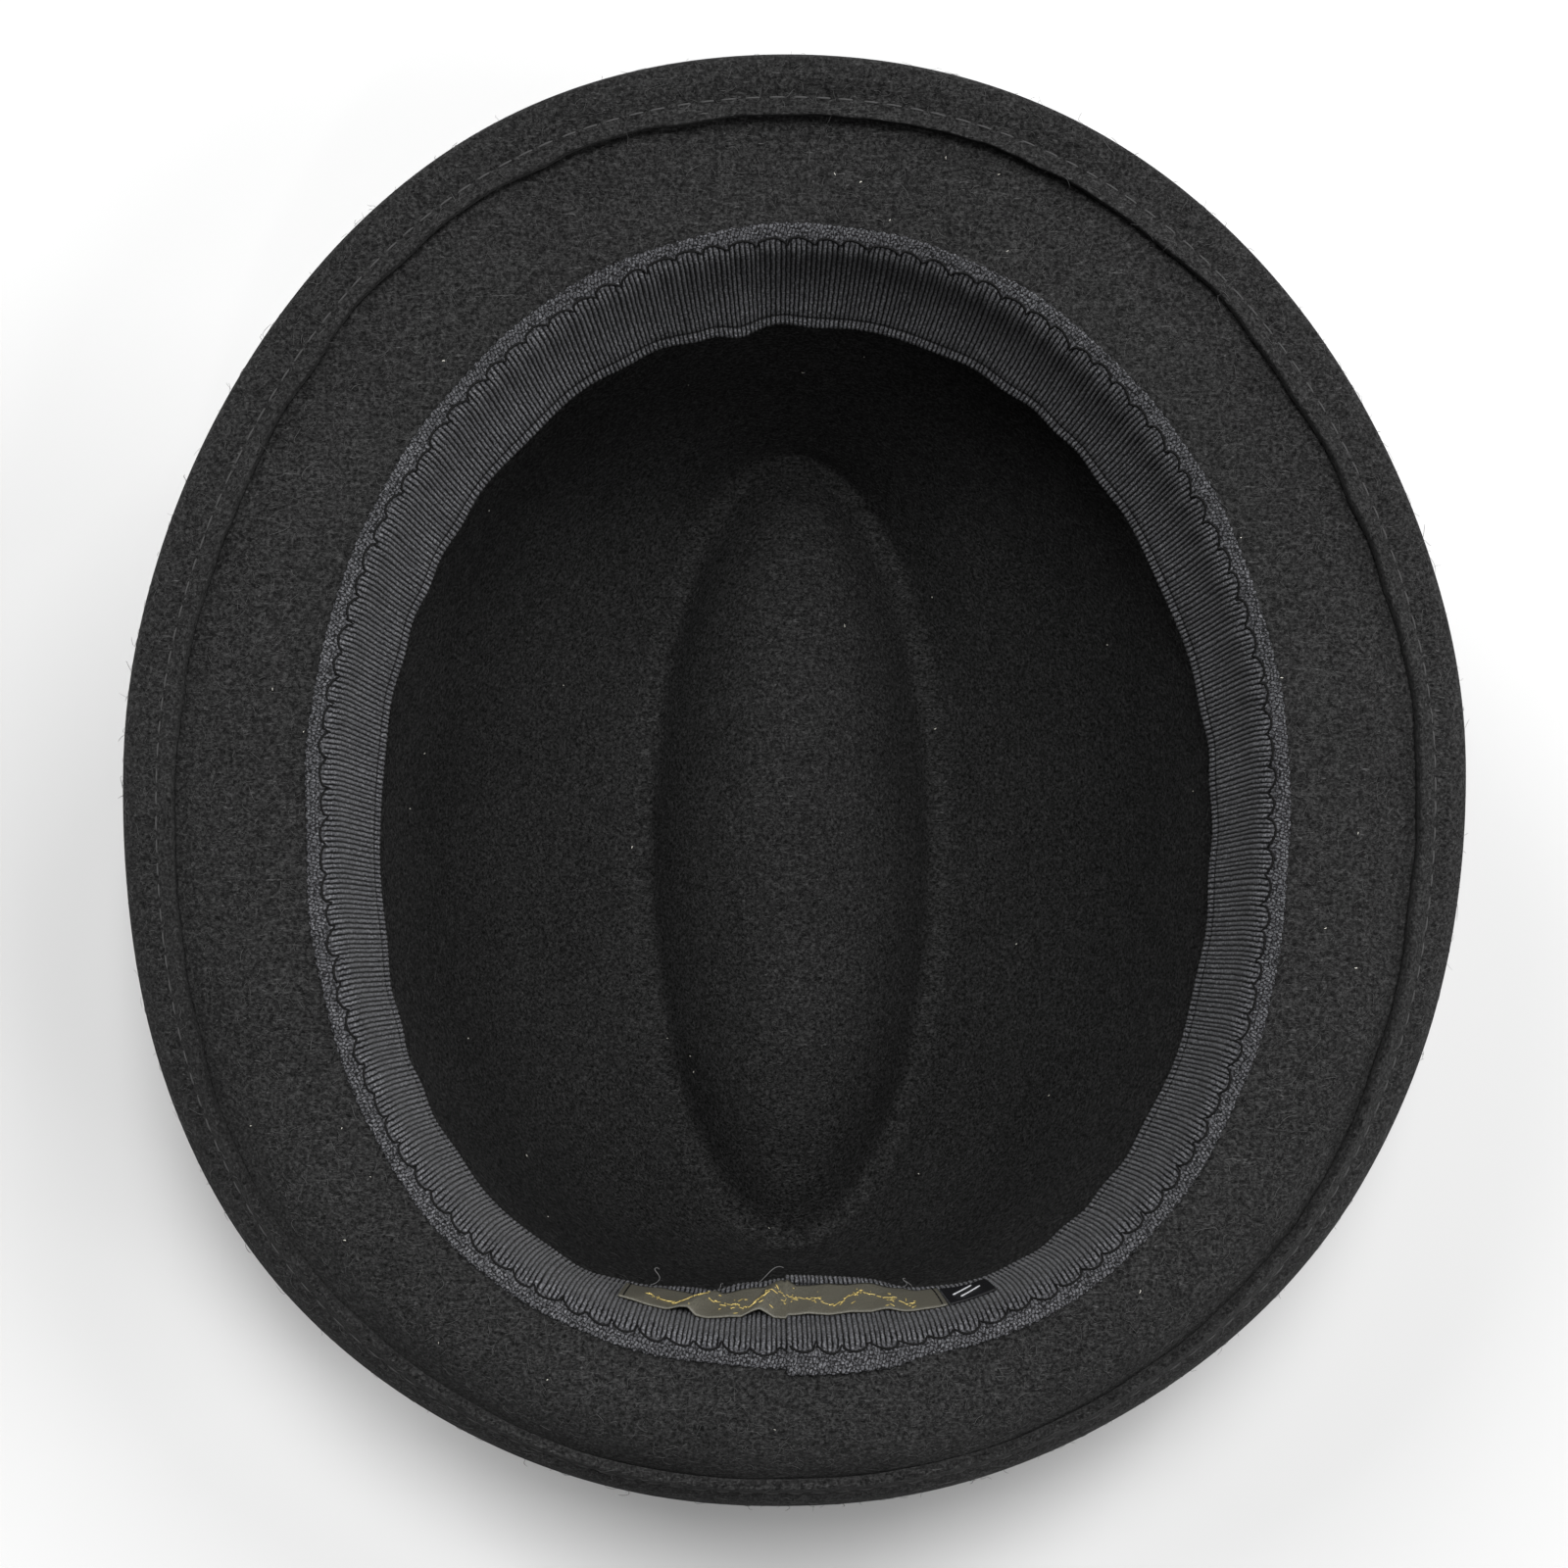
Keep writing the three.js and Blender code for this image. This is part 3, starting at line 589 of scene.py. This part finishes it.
def satin_material(name, colour, roughness, specular):
    """Shiny woven cloth with a speckled weave."""
    made = material(name, colour, roughness, specular=specular)
    n = Nodes(made)
    here = n.coordinates("UV")
    weave = n.noise(n.mapping(here, (3.0, 0.9, 1)), 2.2, 3, 0.7)
    base = n.mix(tuple(colour), n.ramp(weave, [(0.32, grey(0.45)), (0.68, grey(1.55))]), 0.9, "MULTIPLY")
    n.link(base, n.shader.inputs["Base Color"])
    n.link(n.bump(weave, 0.35, 0.0002), n.shader.inputs["Normal"])
    return made


def thread_material(name, colour, roughness=0.7, metallic=0.0, specular=0.12):
    """Twisted thread."""
    made = material(name, colour, roughness, specular=specular)
    made.node_tree.nodes["Principled BSDF"].inputs["Metallic"].default_value = metallic
    n = Nodes(made)
    twist = n.noise(n.coordinates(), 3200, 1, 0.5)
    n.link(n.bump(twist, 0.4, 0.0001), n.shader.inputs["Normal"])
    return made


felt_cloth = felt_material("wool_felt", 0.0122, 0.03)
# inside the crown the felt is darker and has no sheen: the darker tone is painted shade of the hollow
shaded_felt_cloth = felt_material("wool_felt_shaded_inside", 0.0105, 0.0)
ribbon_cloth = ribbon_material()
label_cloth = satin_material("olive_satin", (0.076, 0.072, 0.057), 0.42, 0.45)
tab_cloth = satin_material("black_satin", (0.007, 0.007, 0.008), 0.45, 0.2)
dark_thread = thread_material("dark_thread", grey(0.003))
edge_thread = thread_material("edge_thread", grey(0.045))
gold_thread = thread_material("gold_thread", (0.52, 0.40, 0.13), 0.4, 0.4, specular=0.5)
pale_thread = thread_material("pale_thread", (0.45, 0.46, 0.48))
loose_thread = thread_material("loose_thread", grey(0.10))
lint_cloth = thread_material("lint", (0.6, 0.58, 0.52), 0.9)
fuzz_cloth = material("wool_fuzz", grey(0.06), 0.9, specular=0.1)
# the darker fibres in the hollow: painted shade
shaded_fuzz_cloth = material("wool_fuzz_shaded_inside", grey(0.035), 0.9, specular=0.1)

# The felt
FOLD = FELT / 2 + WELT_GAP / 2
FLAP = WELT_WIDTH - FOLD - FELT / 2
HALF = FELT / 2


def felt_shape(columns):
    """The middle surface with the folded edge: upper and lower grids, head side first."""
    angles = np.arange(columns) * TURN / columns
    width = brim_width(angles)
    rough = 0.5 * wander(angles * 110, 3, 12) + 0.15 * wander(angles * 110, 8, 4)
    rough -= rough[0] + (rough[-1] - rough[0]) * angles / TURN
    front = np.maximum(np.sin(angles), 0)
    outside, inside = [], []

    def add(point, normal):
        low = point + normal * HALF
        low[..., 2] = np.maximum(low[..., 2], 0)
        outside.append(low)
        inside.append(point - normal * HALF)

    shares = np.array([1.0, 0.985, 0.95, 0.88, 0.8, 0.74, 0.70, 0.66, 0.6, 0.5, 0.35, 0.18, 0.0])
    flap = FLAP + rough
    distances = width - shares[:, None] * flap
    point, _, normal = felt_at(angles, distances)
    from_edge = FOLD + HALF + shares[:, None] * flap
    groove = -GROOVE_DEPTH * np.exp(-((from_edge - STITCH_AT + GROOVE_SHIFT) / GROOVE_WIDTH) ** 2)
    puff = PUFF * np.sin(np.pi * np.clip(shares / 0.62, 0, 1))[:, None]
    loft = (0.25 + 0.75 * front) * np.clip((shares - 0.72) / 0.28, 0, 1)[:, None] ** 1.5
    point = point + normal * (2 * FOLD + groove + puff + loft)[..., None]
    for r in range(len(shares)):
        # the cut edge of the fold is thinner
        thin = 1.0 - 0.35 * (shares[r] >= 1.0)
        outside.append(point[r] + normal[r] * HALF * thin)
        inside.append(point[r] - normal[r] * HALF)
    edge, tangent, normal = frames(angles, np.zeros((1, columns)))
    centre = edge[0] + normal[0] * FOLD
    for turn in (0.85, 0.7, 0.5, 0.3, 0.15):
        side = np.sin(np.pi * turn) * tangent[0] - np.cos(np.pi * turn) * normal[0]
        add(centre + side * FOLD, side)
    shares = np.linspace(0, 1, 33)[:-1]
    brim_places, _ = places_at(angles, width * (1 - shares[:, None]))
    brim_places[0] = 0
    rest = np.concatenate([CORNER_ROW + np.arange(0, RIM_ROW - CORNER_ROW, 0.2),
                           np.arange(RIM_ROW, RIM_ROW + 2, 0.2),
                           np.arange(RIM_ROW + 2, LAST_ROW + 0.01, 0.2)])
    rest[-1] = LAST_ROW
    places = np.concatenate([brim_places, columns_of(rest, columns)])
    point, _, normal = frames(angles, places)
    bend = np.abs(places - CORNER_ROW)
    calm = smooth((bend - 2.0) / 3.0) * smooth((np.abs(places - RIM_ROW - 1) - 0.8) / 2)
    uneven = sum(height * field(point, size, seed) for height, size, seed in SWELLS)
    point = point + normal * (uneven * calm)[..., None]
    for r in range(len(places)):
        add(point[r], -normal[r])
    return np.array(inside), np.array(outside), len(inside) - len(rest)


inside, outside, bend_row = felt_shape(320)
both = np.concatenate([inside.reshape(-1, 3), outside.reshape(-1, 3)])
middle = (both.min(0) + both.max(0)) / 2
shift = np.array([-middle[0], -middle[1], 0.0])
felt = mesh_object("felt", both, sheet_faces(*inside.shape[:2], True, True), felt_cloth)
felt.data.materials.append(shaded_felt_cloth)
# from under the ribbon on, the head side takes the darker felt, painted shade of the hollow
painted_shade_faces = np.zeros(len(felt.data.polygons), np.int32)
painted_shade_faces[(bend_row + 8) * inside.shape[1]:(len(inside) - 1) * inside.shape[1]] = 1
felt.data.polygons.foreach_set("material_index", painted_shade_faces)


# The stitches along the edge
def read_at(angles, dense, values):
    """Values (n, 3) given at dense angles, read at other angles."""
    return np.stack([np.interp(angles, dense, values[:, k], period=TURN) for k in range(3)], -1)


def running_stitch():
    """Stitches through the folded edge, on both faces of the brim."""
    stitches = Strands()
    dense = np.linspace(0, TURN, 3601)[:-1]
    seam, _, seam_normals = felt_at(dense, (brim_width(dense) - (STITCH_AT - FOLD - HALF))[None])
    run = run_along(seam[0])
    total = run[-1] + np.linalg.norm(seam[0, 0] - seam[0, -1])
    count = int(round(total / STITCH_PITCH))
    pitch = total / count
    t = np.linspace(0, 1, 7)
    for side, height in ((1, 2 * FOLD + HALF - 0.50), (-1, HALF - 0.02)):
        for i in range(count):
            start = i * pitch + 0.25 * float(rng.uniform(-1, 1))
            length = STITCH_LENGTH * float(rng.uniform(0.9, 1.08)) if side > 0 else 0.8 * STITCH_LENGTH
            angles = np.interp((start + t * length) % total, run, dense)
            point, normal = read_at(angles, dense, seam[0]), read_at(angles, dense, seam_normals[0])
            arch = height + 0.22 * np.sin(np.pi * t) ** 0.6 - 0.1
            radius = STITCH_RADIUS * np.sin(np.pi * (0.12 + 0.76 * t)) ** 0.4
            stitches.add(point + normal * (side * arch)[:, None], radius, sides=6, flat=0.8, up=normal * side)
    return stitches.build("edge_stitches", edge_thread)


edge_stitches = running_stitch()


# The ribbon
def second_layer(angle):
    """1 where the ribbon's end lies over its start, 0 past the overlap."""
    end = back_angle(BAND_END_X)
    overlap = back_angle(BAND_END_X + BAND_OVERLAP) - end
    return smooth((end + LAYER_RUN * overlap - angle) / (LAYER_RAMP * overlap))


def free_edge(angle):
    """How far the ribbon's free edge stands off the felt."""
    turn = angle % TURN
    centre = back_angle(BULGE_X)
    half = back_angle(BULGE_X + BULGE_LENGTH / 2) - centre
    off = BAND_FLARE * around(FLARE, angle) + BAND_BULGE * smooth(1 - abs(turn - centre) / half)
    for at, width, height in EDGE_WAVES:
        off = off + height * np.exp(-((np.degrees(turn) - at) / width) ** 2)
    at_back = np.abs(turn - BACK) < 0.5
    where, value = np.array(BACK_WAVES).T
    x = back_x(np.where(at_back, turn, BACK))
    wave = np.interp(x, where, value, left=0, right=0)
    return off + np.where(at_back, wave, 0)


def ribbon_frame(angles, distances, layer, thick=BAND_THICK):
    """Points on the ribbon's head side, with normals, at distances (K, M) from its edge on the brim."""
    point, _, normal = felt_at(angles, BAND_LAP - distances)
    free = np.maximum((distances - 2 * BAND_LAP) / (BAND_WIDTH - 2 * BAND_LAP), 0)
    off = free_edge(angles) * free ** 2 + layer * (thick + 0.15)
    ripple = 0.16 * np.sin(angles * 113) * np.exp(-((distances - 7.5) / 3.5) ** 2)
    ripple = ripple + 0.25 * np.sin(angles * 31 + 2 * np.sin(angles * 7)) * free ** 2
    lift = HALF + SEAT_GAP * 0.6 + thick + off + ripple
    return point + normal * lift[..., None], normal


band_end = back_angle(BAND_END_X)
band_start = back_angle(BAND_END_X + BAND_OVERLAP)
ring_angles = np.linspace(band_end - TURN, band_start, 4001)
ring, _ = ribbon_frame(ring_angles, np.full((1, 4001), 14.0), 0)
ring_run = run_along(ring[0])
ribs = int(round(ring_run[-1] / RIB_PITCH))
rib_phase = np.arange(ribs * 4 + 1) / 4
rib_run = rib_phase * ring_run[-1] / ribs
rib_run = (rib_run + 0.22 * wander(rib_run, 5, 3.0) * smooth(rib_run / 5)
           * smooth((ring_run[-1] - rib_run) / 5))
rib_angles = np.interp(rib_run, ring_run, ring_angles)


def layer_at(angles):
    """1 on the ribbon's upper layer, along its whole run."""
    return np.where(angles < BACK - np.pi, second_layer(angles + TURN), 0)


def ribbon_shape():
    """Upper and lower grids with the ribs, and ribs and millimetres as uv."""
    count = len(rib_angles)
    distances = np.repeat(SECTIONS[:, None], count, 1)
    scallop = 0.12 * np.cos(TURN * rib_phase / 2)
    distances[0] += scallop
    distances[-1] += 0.5 * scallop
    ragged = 0.3 * wander(rib_run, 9, 16)
    distances[0] += ragged
    distances[1] += ragged
    layer = layer_at(rib_angles)
    distances[:3] -= 0.9 * layer
    top, normal = ribbon_frame(rib_angles, distances, layer)
    rib = RIB_HEIGHT * (np.abs(np.sin(np.pi * rib_phase)) ** 0.8 - 1)
    groove = -0.28 * np.exp(-((distances - CREASE_AT) / 0.25) ** 2)
    pressed = 1 - 0.6 * smooth((ZIGZAG_AT + 0.4 - distances) / 1.2)
    upper = top + normal * (rib * pressed + groove)[..., None]
    lower = top - normal * (BAND_THICK - 0.02)
    uv = np.stack([np.broadcast_to(rib_phase, distances.shape), distances], -1)
    return upper, lower, np.concatenate([uv, uv]).reshape(-1, 2)


upper, lower, ribbon_uv = ribbon_shape()
ribbon = mesh_object("ribbon", np.concatenate([upper.reshape(-1, 3), lower.reshape(-1, 3)]),
                     sheet_faces(*upper.shape[:2], False, False), ribbon_cloth, ribbon_uv)


def zigzag_stitch():
    """The seam between the ribs and the pressed hem: arches that hook where they meet."""
    zigzag = Strands()
    run = np.linspace(0.5, ring_run[-1] - 0.5, int(ring_run[-1] / 0.42))
    angles = np.interp(run, ring_run, ring_angles)
    phase = (run / ZIGZAG_PITCH + 0.1 * wander(run, 4, 6)) % 1
    arch = np.abs(np.sin(np.pi * phase)) ** 0.7
    hook = np.exp(-((phase - 0.93) / 0.035) ** 2)
    distance = ZIGZAG_AT + ZIGZAG_REACH * (1 - 2 * arch) + (0.7 + 0.4 * wander(run, 12, 5)) * hook
    distance = distance + 0.3 * wander(run, 6, 4)
    points, normals = ribbon_frame(angles, distance[None], layer_at(angles))
    zigzag.add(points[0] + normals[0] * 0.02, ZIGZAG_RADIUS, sides=5, flat=0.8, up=normals[0])
    return zigzag.build("ribbon_stitches", dark_thread)


band_stitches = zigzag_stitch()


# The label, its ornament and the tab
label_left = LABEL_CENTRE_X - LABEL_LENGTH / 2
label_right = label_left + LABEL_LENGTH
tab_left = label_right + TAB_SPACING


def strip_grid(columns=500, rows=48):
    """The face that the label and the tab lie on, by place along X and up from the label's lower side."""
    x = np.linspace(label_left - 1, tab_left + TAB_LENGTH + 1, columns)
    up = np.linspace(-0.5, LABEL_HEIGHT + 0.5, rows)
    angles = back_angle(x)
    low = BAND_WIDTH - LABEL_INSET - LABEL_HEIGHT
    where, drop = np.array(LABEL_DROPS).T
    distances = (low + up)[:, None] - np.interp(x, where, drop)
    layer = np.where(angles < band_end, 0, second_layer(angles))
    point, normal = ribbon_frame(angles, distances, layer)
    where, value = np.array(LABEL_WAVES).T
    arch = np.sin(np.pi * np.clip(up / LABEL_HEIGHT, 0, 1))[:, None]
    along = x[None] - FOLD_LEAN * (up / LABEL_HEIGHT - 0.5)[:, None]
    bow = np.interp(along, where, value) * (0.55 + 0.45 * arch) + 0.1 + LABEL_THICK
    return x, up, point + normal * bow[..., None], normal


def strip_frame(x, up):
    """Points and normals on the label's face, for places of any shape."""
    grid_x, grid_up, points, normals = strip_face
    x, up = np.broadcast_arrays(np.asarray(x, float), np.asarray(up, float))
    across = np.clip((x - grid_x[0]) / (grid_x[1] - grid_x[0]), 0, len(grid_x) - 1.001)
    along = np.clip((up - grid_up[0]) / (grid_up[1] - grid_up[0]), 0, len(grid_up) - 1.001)
    i, j = across.astype(int), along.astype(int)
    u, v = (across - i)[..., None], (along - j)[..., None]

    def blend(grid):
        low = (1 - u) * grid[j, i] + u * grid[j, i + 1]
        high = (1 - u) * grid[j + 1, i] + u * grid[j + 1, i + 1]
        return (1 - v) * low + v * high

    return blend(points), unit(blend(normals))


def strip_piece(name, from_x, to_x, height, cloth, start, columns, rows):
    """A thin cloth on that face, with its rim pressed down."""
    x = np.linspace(from_x, to_x, columns)
    up = start + np.linspace(0, height, rows)
    xx, uu = np.meshgrid(x, up)
    face, normal = strip_frame(xx, uu)
    rim = np.exp(-((uu - start) / 0.5) ** 2) + np.exp(-((uu - start - height) / 0.5) ** 2)
    face = face - normal * (0.08 * rim)[..., None]
    back = face - normal * LABEL_THICK
    points = np.concatenate([face.reshape(-1, 3), back.reshape(-1, 3)])
    uv = np.stack([xx, uu], -1)
    uv = np.concatenate([uv, uv]).reshape(-1, 2)
    return mesh_object(name, points, sheet_faces(rows, columns, False, False), cloth, uv)


strip_face = strip_grid()
label = strip_piece("woven_label", label_left, label_right, LABEL_HEIGHT - FOLDED_AWAY, label_cloth,
                    FOLDED_AWAY, 160, 16)
tab = strip_piece("black_tab", tab_left, tab_left + TAB_LENGTH, TAB_HEIGHT, tab_cloth, 0.5, 30, 14)


def gold_line():
    """A broken wavy line of gold thread along the label, with small bits beside it."""
    gold = Strands()
    start = label_left + 5
    t = np.linspace(0, 1, 4)
    while start < label_right - 6:
        run_length = float(rng.uniform(0.35, 1.3))
        x = start + np.linspace(0, run_length, 5)
        tilt = float(rng.normal(0, 0.35))
        wave = 1.7 * np.sin((x - label_left) * TURN / 15 + 0.6)
        up = LABEL_HEIGHT / 2 + wave + float(rng.normal(0, 0.3)) + tilt * (x - start)
        dash, dash_normal = strip_frame(x, up)
        radius = float(rng.uniform(0.08, 0.19))
        gold.add(dash + dash_normal * 0.08, radius, sides=5, flat=0.7, up=dash_normal)
        for _ in range(int(rng.integers(0, 4))):
            lean, rise = rng.normal(0, 0.5), rng.normal(0, 0.45)
            away = float(rng.normal(0, 1.5))
            bit_up = np.clip(up[2] + away + rise * t, 1.4, LABEL_HEIGHT - 1.4)
            bit, bit_normal = strip_frame(x[2] + lean * (t + 0.6), bit_up)
            thick = 0.06 + 0.08 * np.sin(np.pi * t)
            gold.add(bit + bit_normal * 0.09, thick, sides=5, flat=0.6, up=bit_normal)
        start += run_length + float(rng.uniform(-0.1, 0.35))
    return gold.build("gold_ornament", gold_thread)


def two_strokes():
    """Two slanted strokes of pale thread on the tab."""
    pale = Strands()
    for offset in (0.0, 2.2):
        x = tab_left + 1.4 + 0.5 * offset + np.linspace(0, 4.0, 8)
        stroke, normal = strip_frame(x, 5.2 - offset + np.linspace(0, 3.2, 8))
        pale.add(stroke + normal * 0.05, 0.3, sides=6, flat=0.4, up=normal)
    return pale.build("tab_strokes", pale_thread)


def label_seams():
    """The stitches that hold the label at its two ends."""
    sewn = Strands()
    for x in (label_left + 0.9, label_right - 0.9):
        for k in range(6):
            seam, normal = strip_frame(x, 1.3 + k * 1.65 + np.linspace(0, 1.0, 5))
            sewn.add(seam + normal * 0.06, 0.16, sides=5, up=normal)
    return sewn.build("label_stitches", dark_thread)


ornament = gold_line()
tab_strokes = two_strokes()
label_stitches = label_seams()

# Fibres of the felt, lint and loose threads
FLAP_ROWS = 13


def on_grid(near, far, first, last, count):
    """Random points of one face of the felt between two rows, with normals away from the other face."""
    a, b = near[first:last], np.roll(near[first:last], -1, 1)
    area = np.linalg.norm(np.cross(b[:-1] - a[:-1], a[1:] - a[:-1]), axis=-1)
    cell = rng.choice(area.size, count, p=area.ravel() / area.sum())
    row, column = np.unravel_index(cell, area.shape)
    u, v = rng.uniform(size=(2, count, 1))
    upper = (1 - u) * a[row, column] + u * b[row, column]
    lower = (1 - u) * a[row + 1, column] + u * b[row + 1, column]
    point = (1 - v) * upper + v * lower
    normal = unit(near[first + row, column] - far[first + row, column])
    return point, normal


def fibres(strands, point, normal, length, radius, lift, curl=0.9, steps=5):
    """Short bent hairs that start on the points and lie along the cloth."""
    count = len(point)
    along = unit(np.cross(normal, unit(rng.normal(size=(count, 3)))))
    across = np.cross(normal, along)
    t = np.linspace(0, 1, steps)[None, :, None]
    bend = rng.uniform(-curl, curl, (count, 1, 1))
    wave = rng.uniform(-0.25, 0.25, (count, 1, 1))
    size = rng.uniform(*length, (count, 1, 1))
    rise = rng.uniform(*lift, (count, 1, 1))
    path = point[:, None] + size * (along[:, None] * (t - 0.3 * bend ** 2 * t ** 2)
                                    + across[:, None] * (bend * t ** 2 + wave * np.sin(5 * t)))
    path = path + normal[:, None] * (0.02 + rise * np.sin(np.pi * (0.08 + 0.8 * t)))
    thick = rng.uniform(*radius, (count, 1)) * np.array([0.7] + [1.0] * (steps - 2) + [0.5])
    strands.add_many(path, thick, normal)


brim_rows = (FLAP_ROWS + 16, bend_row - 2)
deep_rows = (bend_row + 15, len(inside) - 1)


def hairs():
    """Fibres that stand off the felt, a paler lot outside and on the brim and a darker one in the hollow,
    darker as painted shade.
    """
    outer_fuzz, inner_fuzz = Strands(), Strands()
    for face, other, first, last, count in (
            (outside, inside, 0, FLAP_ROWS + 5, 1100),
            (outside, inside, FLAP_ROWS + 5, len(outside) - 1, 2000),
            (inside, outside, *brim_rows, 1700)):
        point, normal = on_grid(face, other, first, last, count)
        fibres(outer_fuzz, point, normal, (0.9, 2.6), (0.025, 0.045), (0.03, 0.22))
        if face is inside or first == 0:
            point, normal = on_grid(face, other, first, last, 160)
            fibres(outer_fuzz, point, normal, (1.5, 3.4), (0.035, 0.055), (0.1, 0.5), 1.4, 7)
    point, normal = on_grid(inside, outside, *deep_rows, 2600)
    fibres(inner_fuzz, point, normal, (0.9, 2.6), (0.025, 0.045), (0.03, 0.2))
    return outer_fuzz.build("felt_hairs", fuzz_cloth), inner_fuzz.build("felt_hairs_inside", shaded_fuzz_cloth)


def pale_lint():
    """A few pale specks on the brim and in the hollow."""
    specks = Strands()
    for rows, count in ((brim_rows, 22), (deep_rows, 26)):
        point, normal = on_grid(inside, outside, *rows, count)
        fibres(specks, point, normal, (0.25, 0.6), (0.06, 0.12), (0.02, 0.1), 1.0, 4)
    return specks.build("lint_specks", lint_cloth)


def yarn_ends():
    """Loose bits of yarn at the ribbon's free edge."""
    loose = Strands()
    t = np.linspace(0, 1, 16)[:, None]
    for x0, reach, run_on, loop in LOOSE_THREADS:
        root, normal = ribbon_frame(back_angle(np.array([x0])), np.array([[BAND_WIDTH - 0.4]]), 0)
        swing = loop * np.sin(TURN * t) * (1.2 - t)
        path = root[0] + normal[0] * (0.1 + reach * np.sin(np.pi * (0.62 * t)) ** 1.3)
        path = path + np.array([1.0, 0, 0]) * (run_on * t + swing)
        path = path + np.array([0, 0, 1.0]) * (0.6 * np.sin(4 * t))
        loose.add(path, 0.085, sides=5)
    return loose.build("loose_threads", loose_thread)


felt_hairs, inner_hairs = hairs()
lint = pale_lint()
loose_threads = yarn_ends()


# Floor, camera and light
def add_object(name, data):
    made = bpy.data.objects.new(name, data)
    made.rotation_mode = "QUATERNION"
    bpy.context.scene.collection.objects.link(made)
    return made


def pale_floor():
    mesh = bpy.data.meshes.new("floor")
    mesh.from_pydata([(-6, -6, 0), (6, -6, 0), (6, 6, 0), (-6, 6, 0)], [], [(0, 1, 2, 3)])
    mesh.materials.append(material("pale_floor", grey(FLOOR_TONE), 0.9, specular=0.1))
    return add_object("floor", mesh)


def camera_above():
    """The photo's view: from above the rear of the opening, with the hat's front towards the top."""
    made = add_object("camera", bpy.data.cameras.new("camera"))
    made.data.sensor_width = 36
    made.data.lens = LENS
    plane = (CROWN_HEIGHT + REST_OFFSET) * 0.001
    across, along, height = CAMERA_PLACE
    target = Vector(((CAMERA_TARGET[0] + shift[0]) * 0.001, (CAMERA_TARGET[1] + shift[1]) * 0.001, plane))
    made.location = Vector(((across + shift[0]) * 0.001, (along + shift[1]) * 0.001, plane + height * 0.001))
    look = (target - made.location).normalized()
    right = look.cross(Vector((0, 1, 0))).normalized()
    made.rotation_quaternion = Matrix((right, right.cross(look), -look)).transposed().to_quaternion()
    return made


def point_at(lamp, place, target):
    lamp.location = place
    lamp.rotation_quaternion = (Vector(place) - Vector(target)).to_track_quat("Z", "Y")


def softbox(name, place, target_height, size, watts):
    data = bpy.data.lights.new(name, "AREA")
    data.shape = "RECTANGLE"
    data.size, data.size_y = size
    data.energy = watts
    point_at(add_object(name, data), place, (0, 0, target_height))


def hollow_beam():
    data = bpy.data.lights.new("hollow_beam", "SPOT")
    data.energy = BEAM_WATTS
    data.spot_size = np.radians(BEAM_DEGREES)
    data.spot_blend = 1.0
    data.shadow_soft_size = 0.06
    point_at(add_object("hollow_beam", data), BEAM_PLACE, BEAM_TARGET)


def pale_world():
    world = bpy.data.worlds.new("studio")
    world.use_nodes = True
    background = world.node_tree.nodes["Background"]
    background.inputs["Color"].default_value = (1, 1, 1, 1)
    background.inputs["Strength"].default_value = WORLD_STRENGTH
    return world


pale_floor()
bpy.context.scene.camera = camera_above()
for row in SOFTBOXES:
    softbox(*row)
hollow_beam()
bpy.context.scene.world = pale_world()
bpy.context.scene.view_settings.view_transform = "Standard"

# Which piece stands for what
for piece in (felt, edge_stitches, ribbon, band_stitches, label, label_stitches, ornament, tab, tab_strokes,
              felt_hairs, inner_hairs, lint, loose_threads):
    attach(piece, "root")
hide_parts("felt_body")
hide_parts("sweatband")
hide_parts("label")
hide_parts("size_tab")
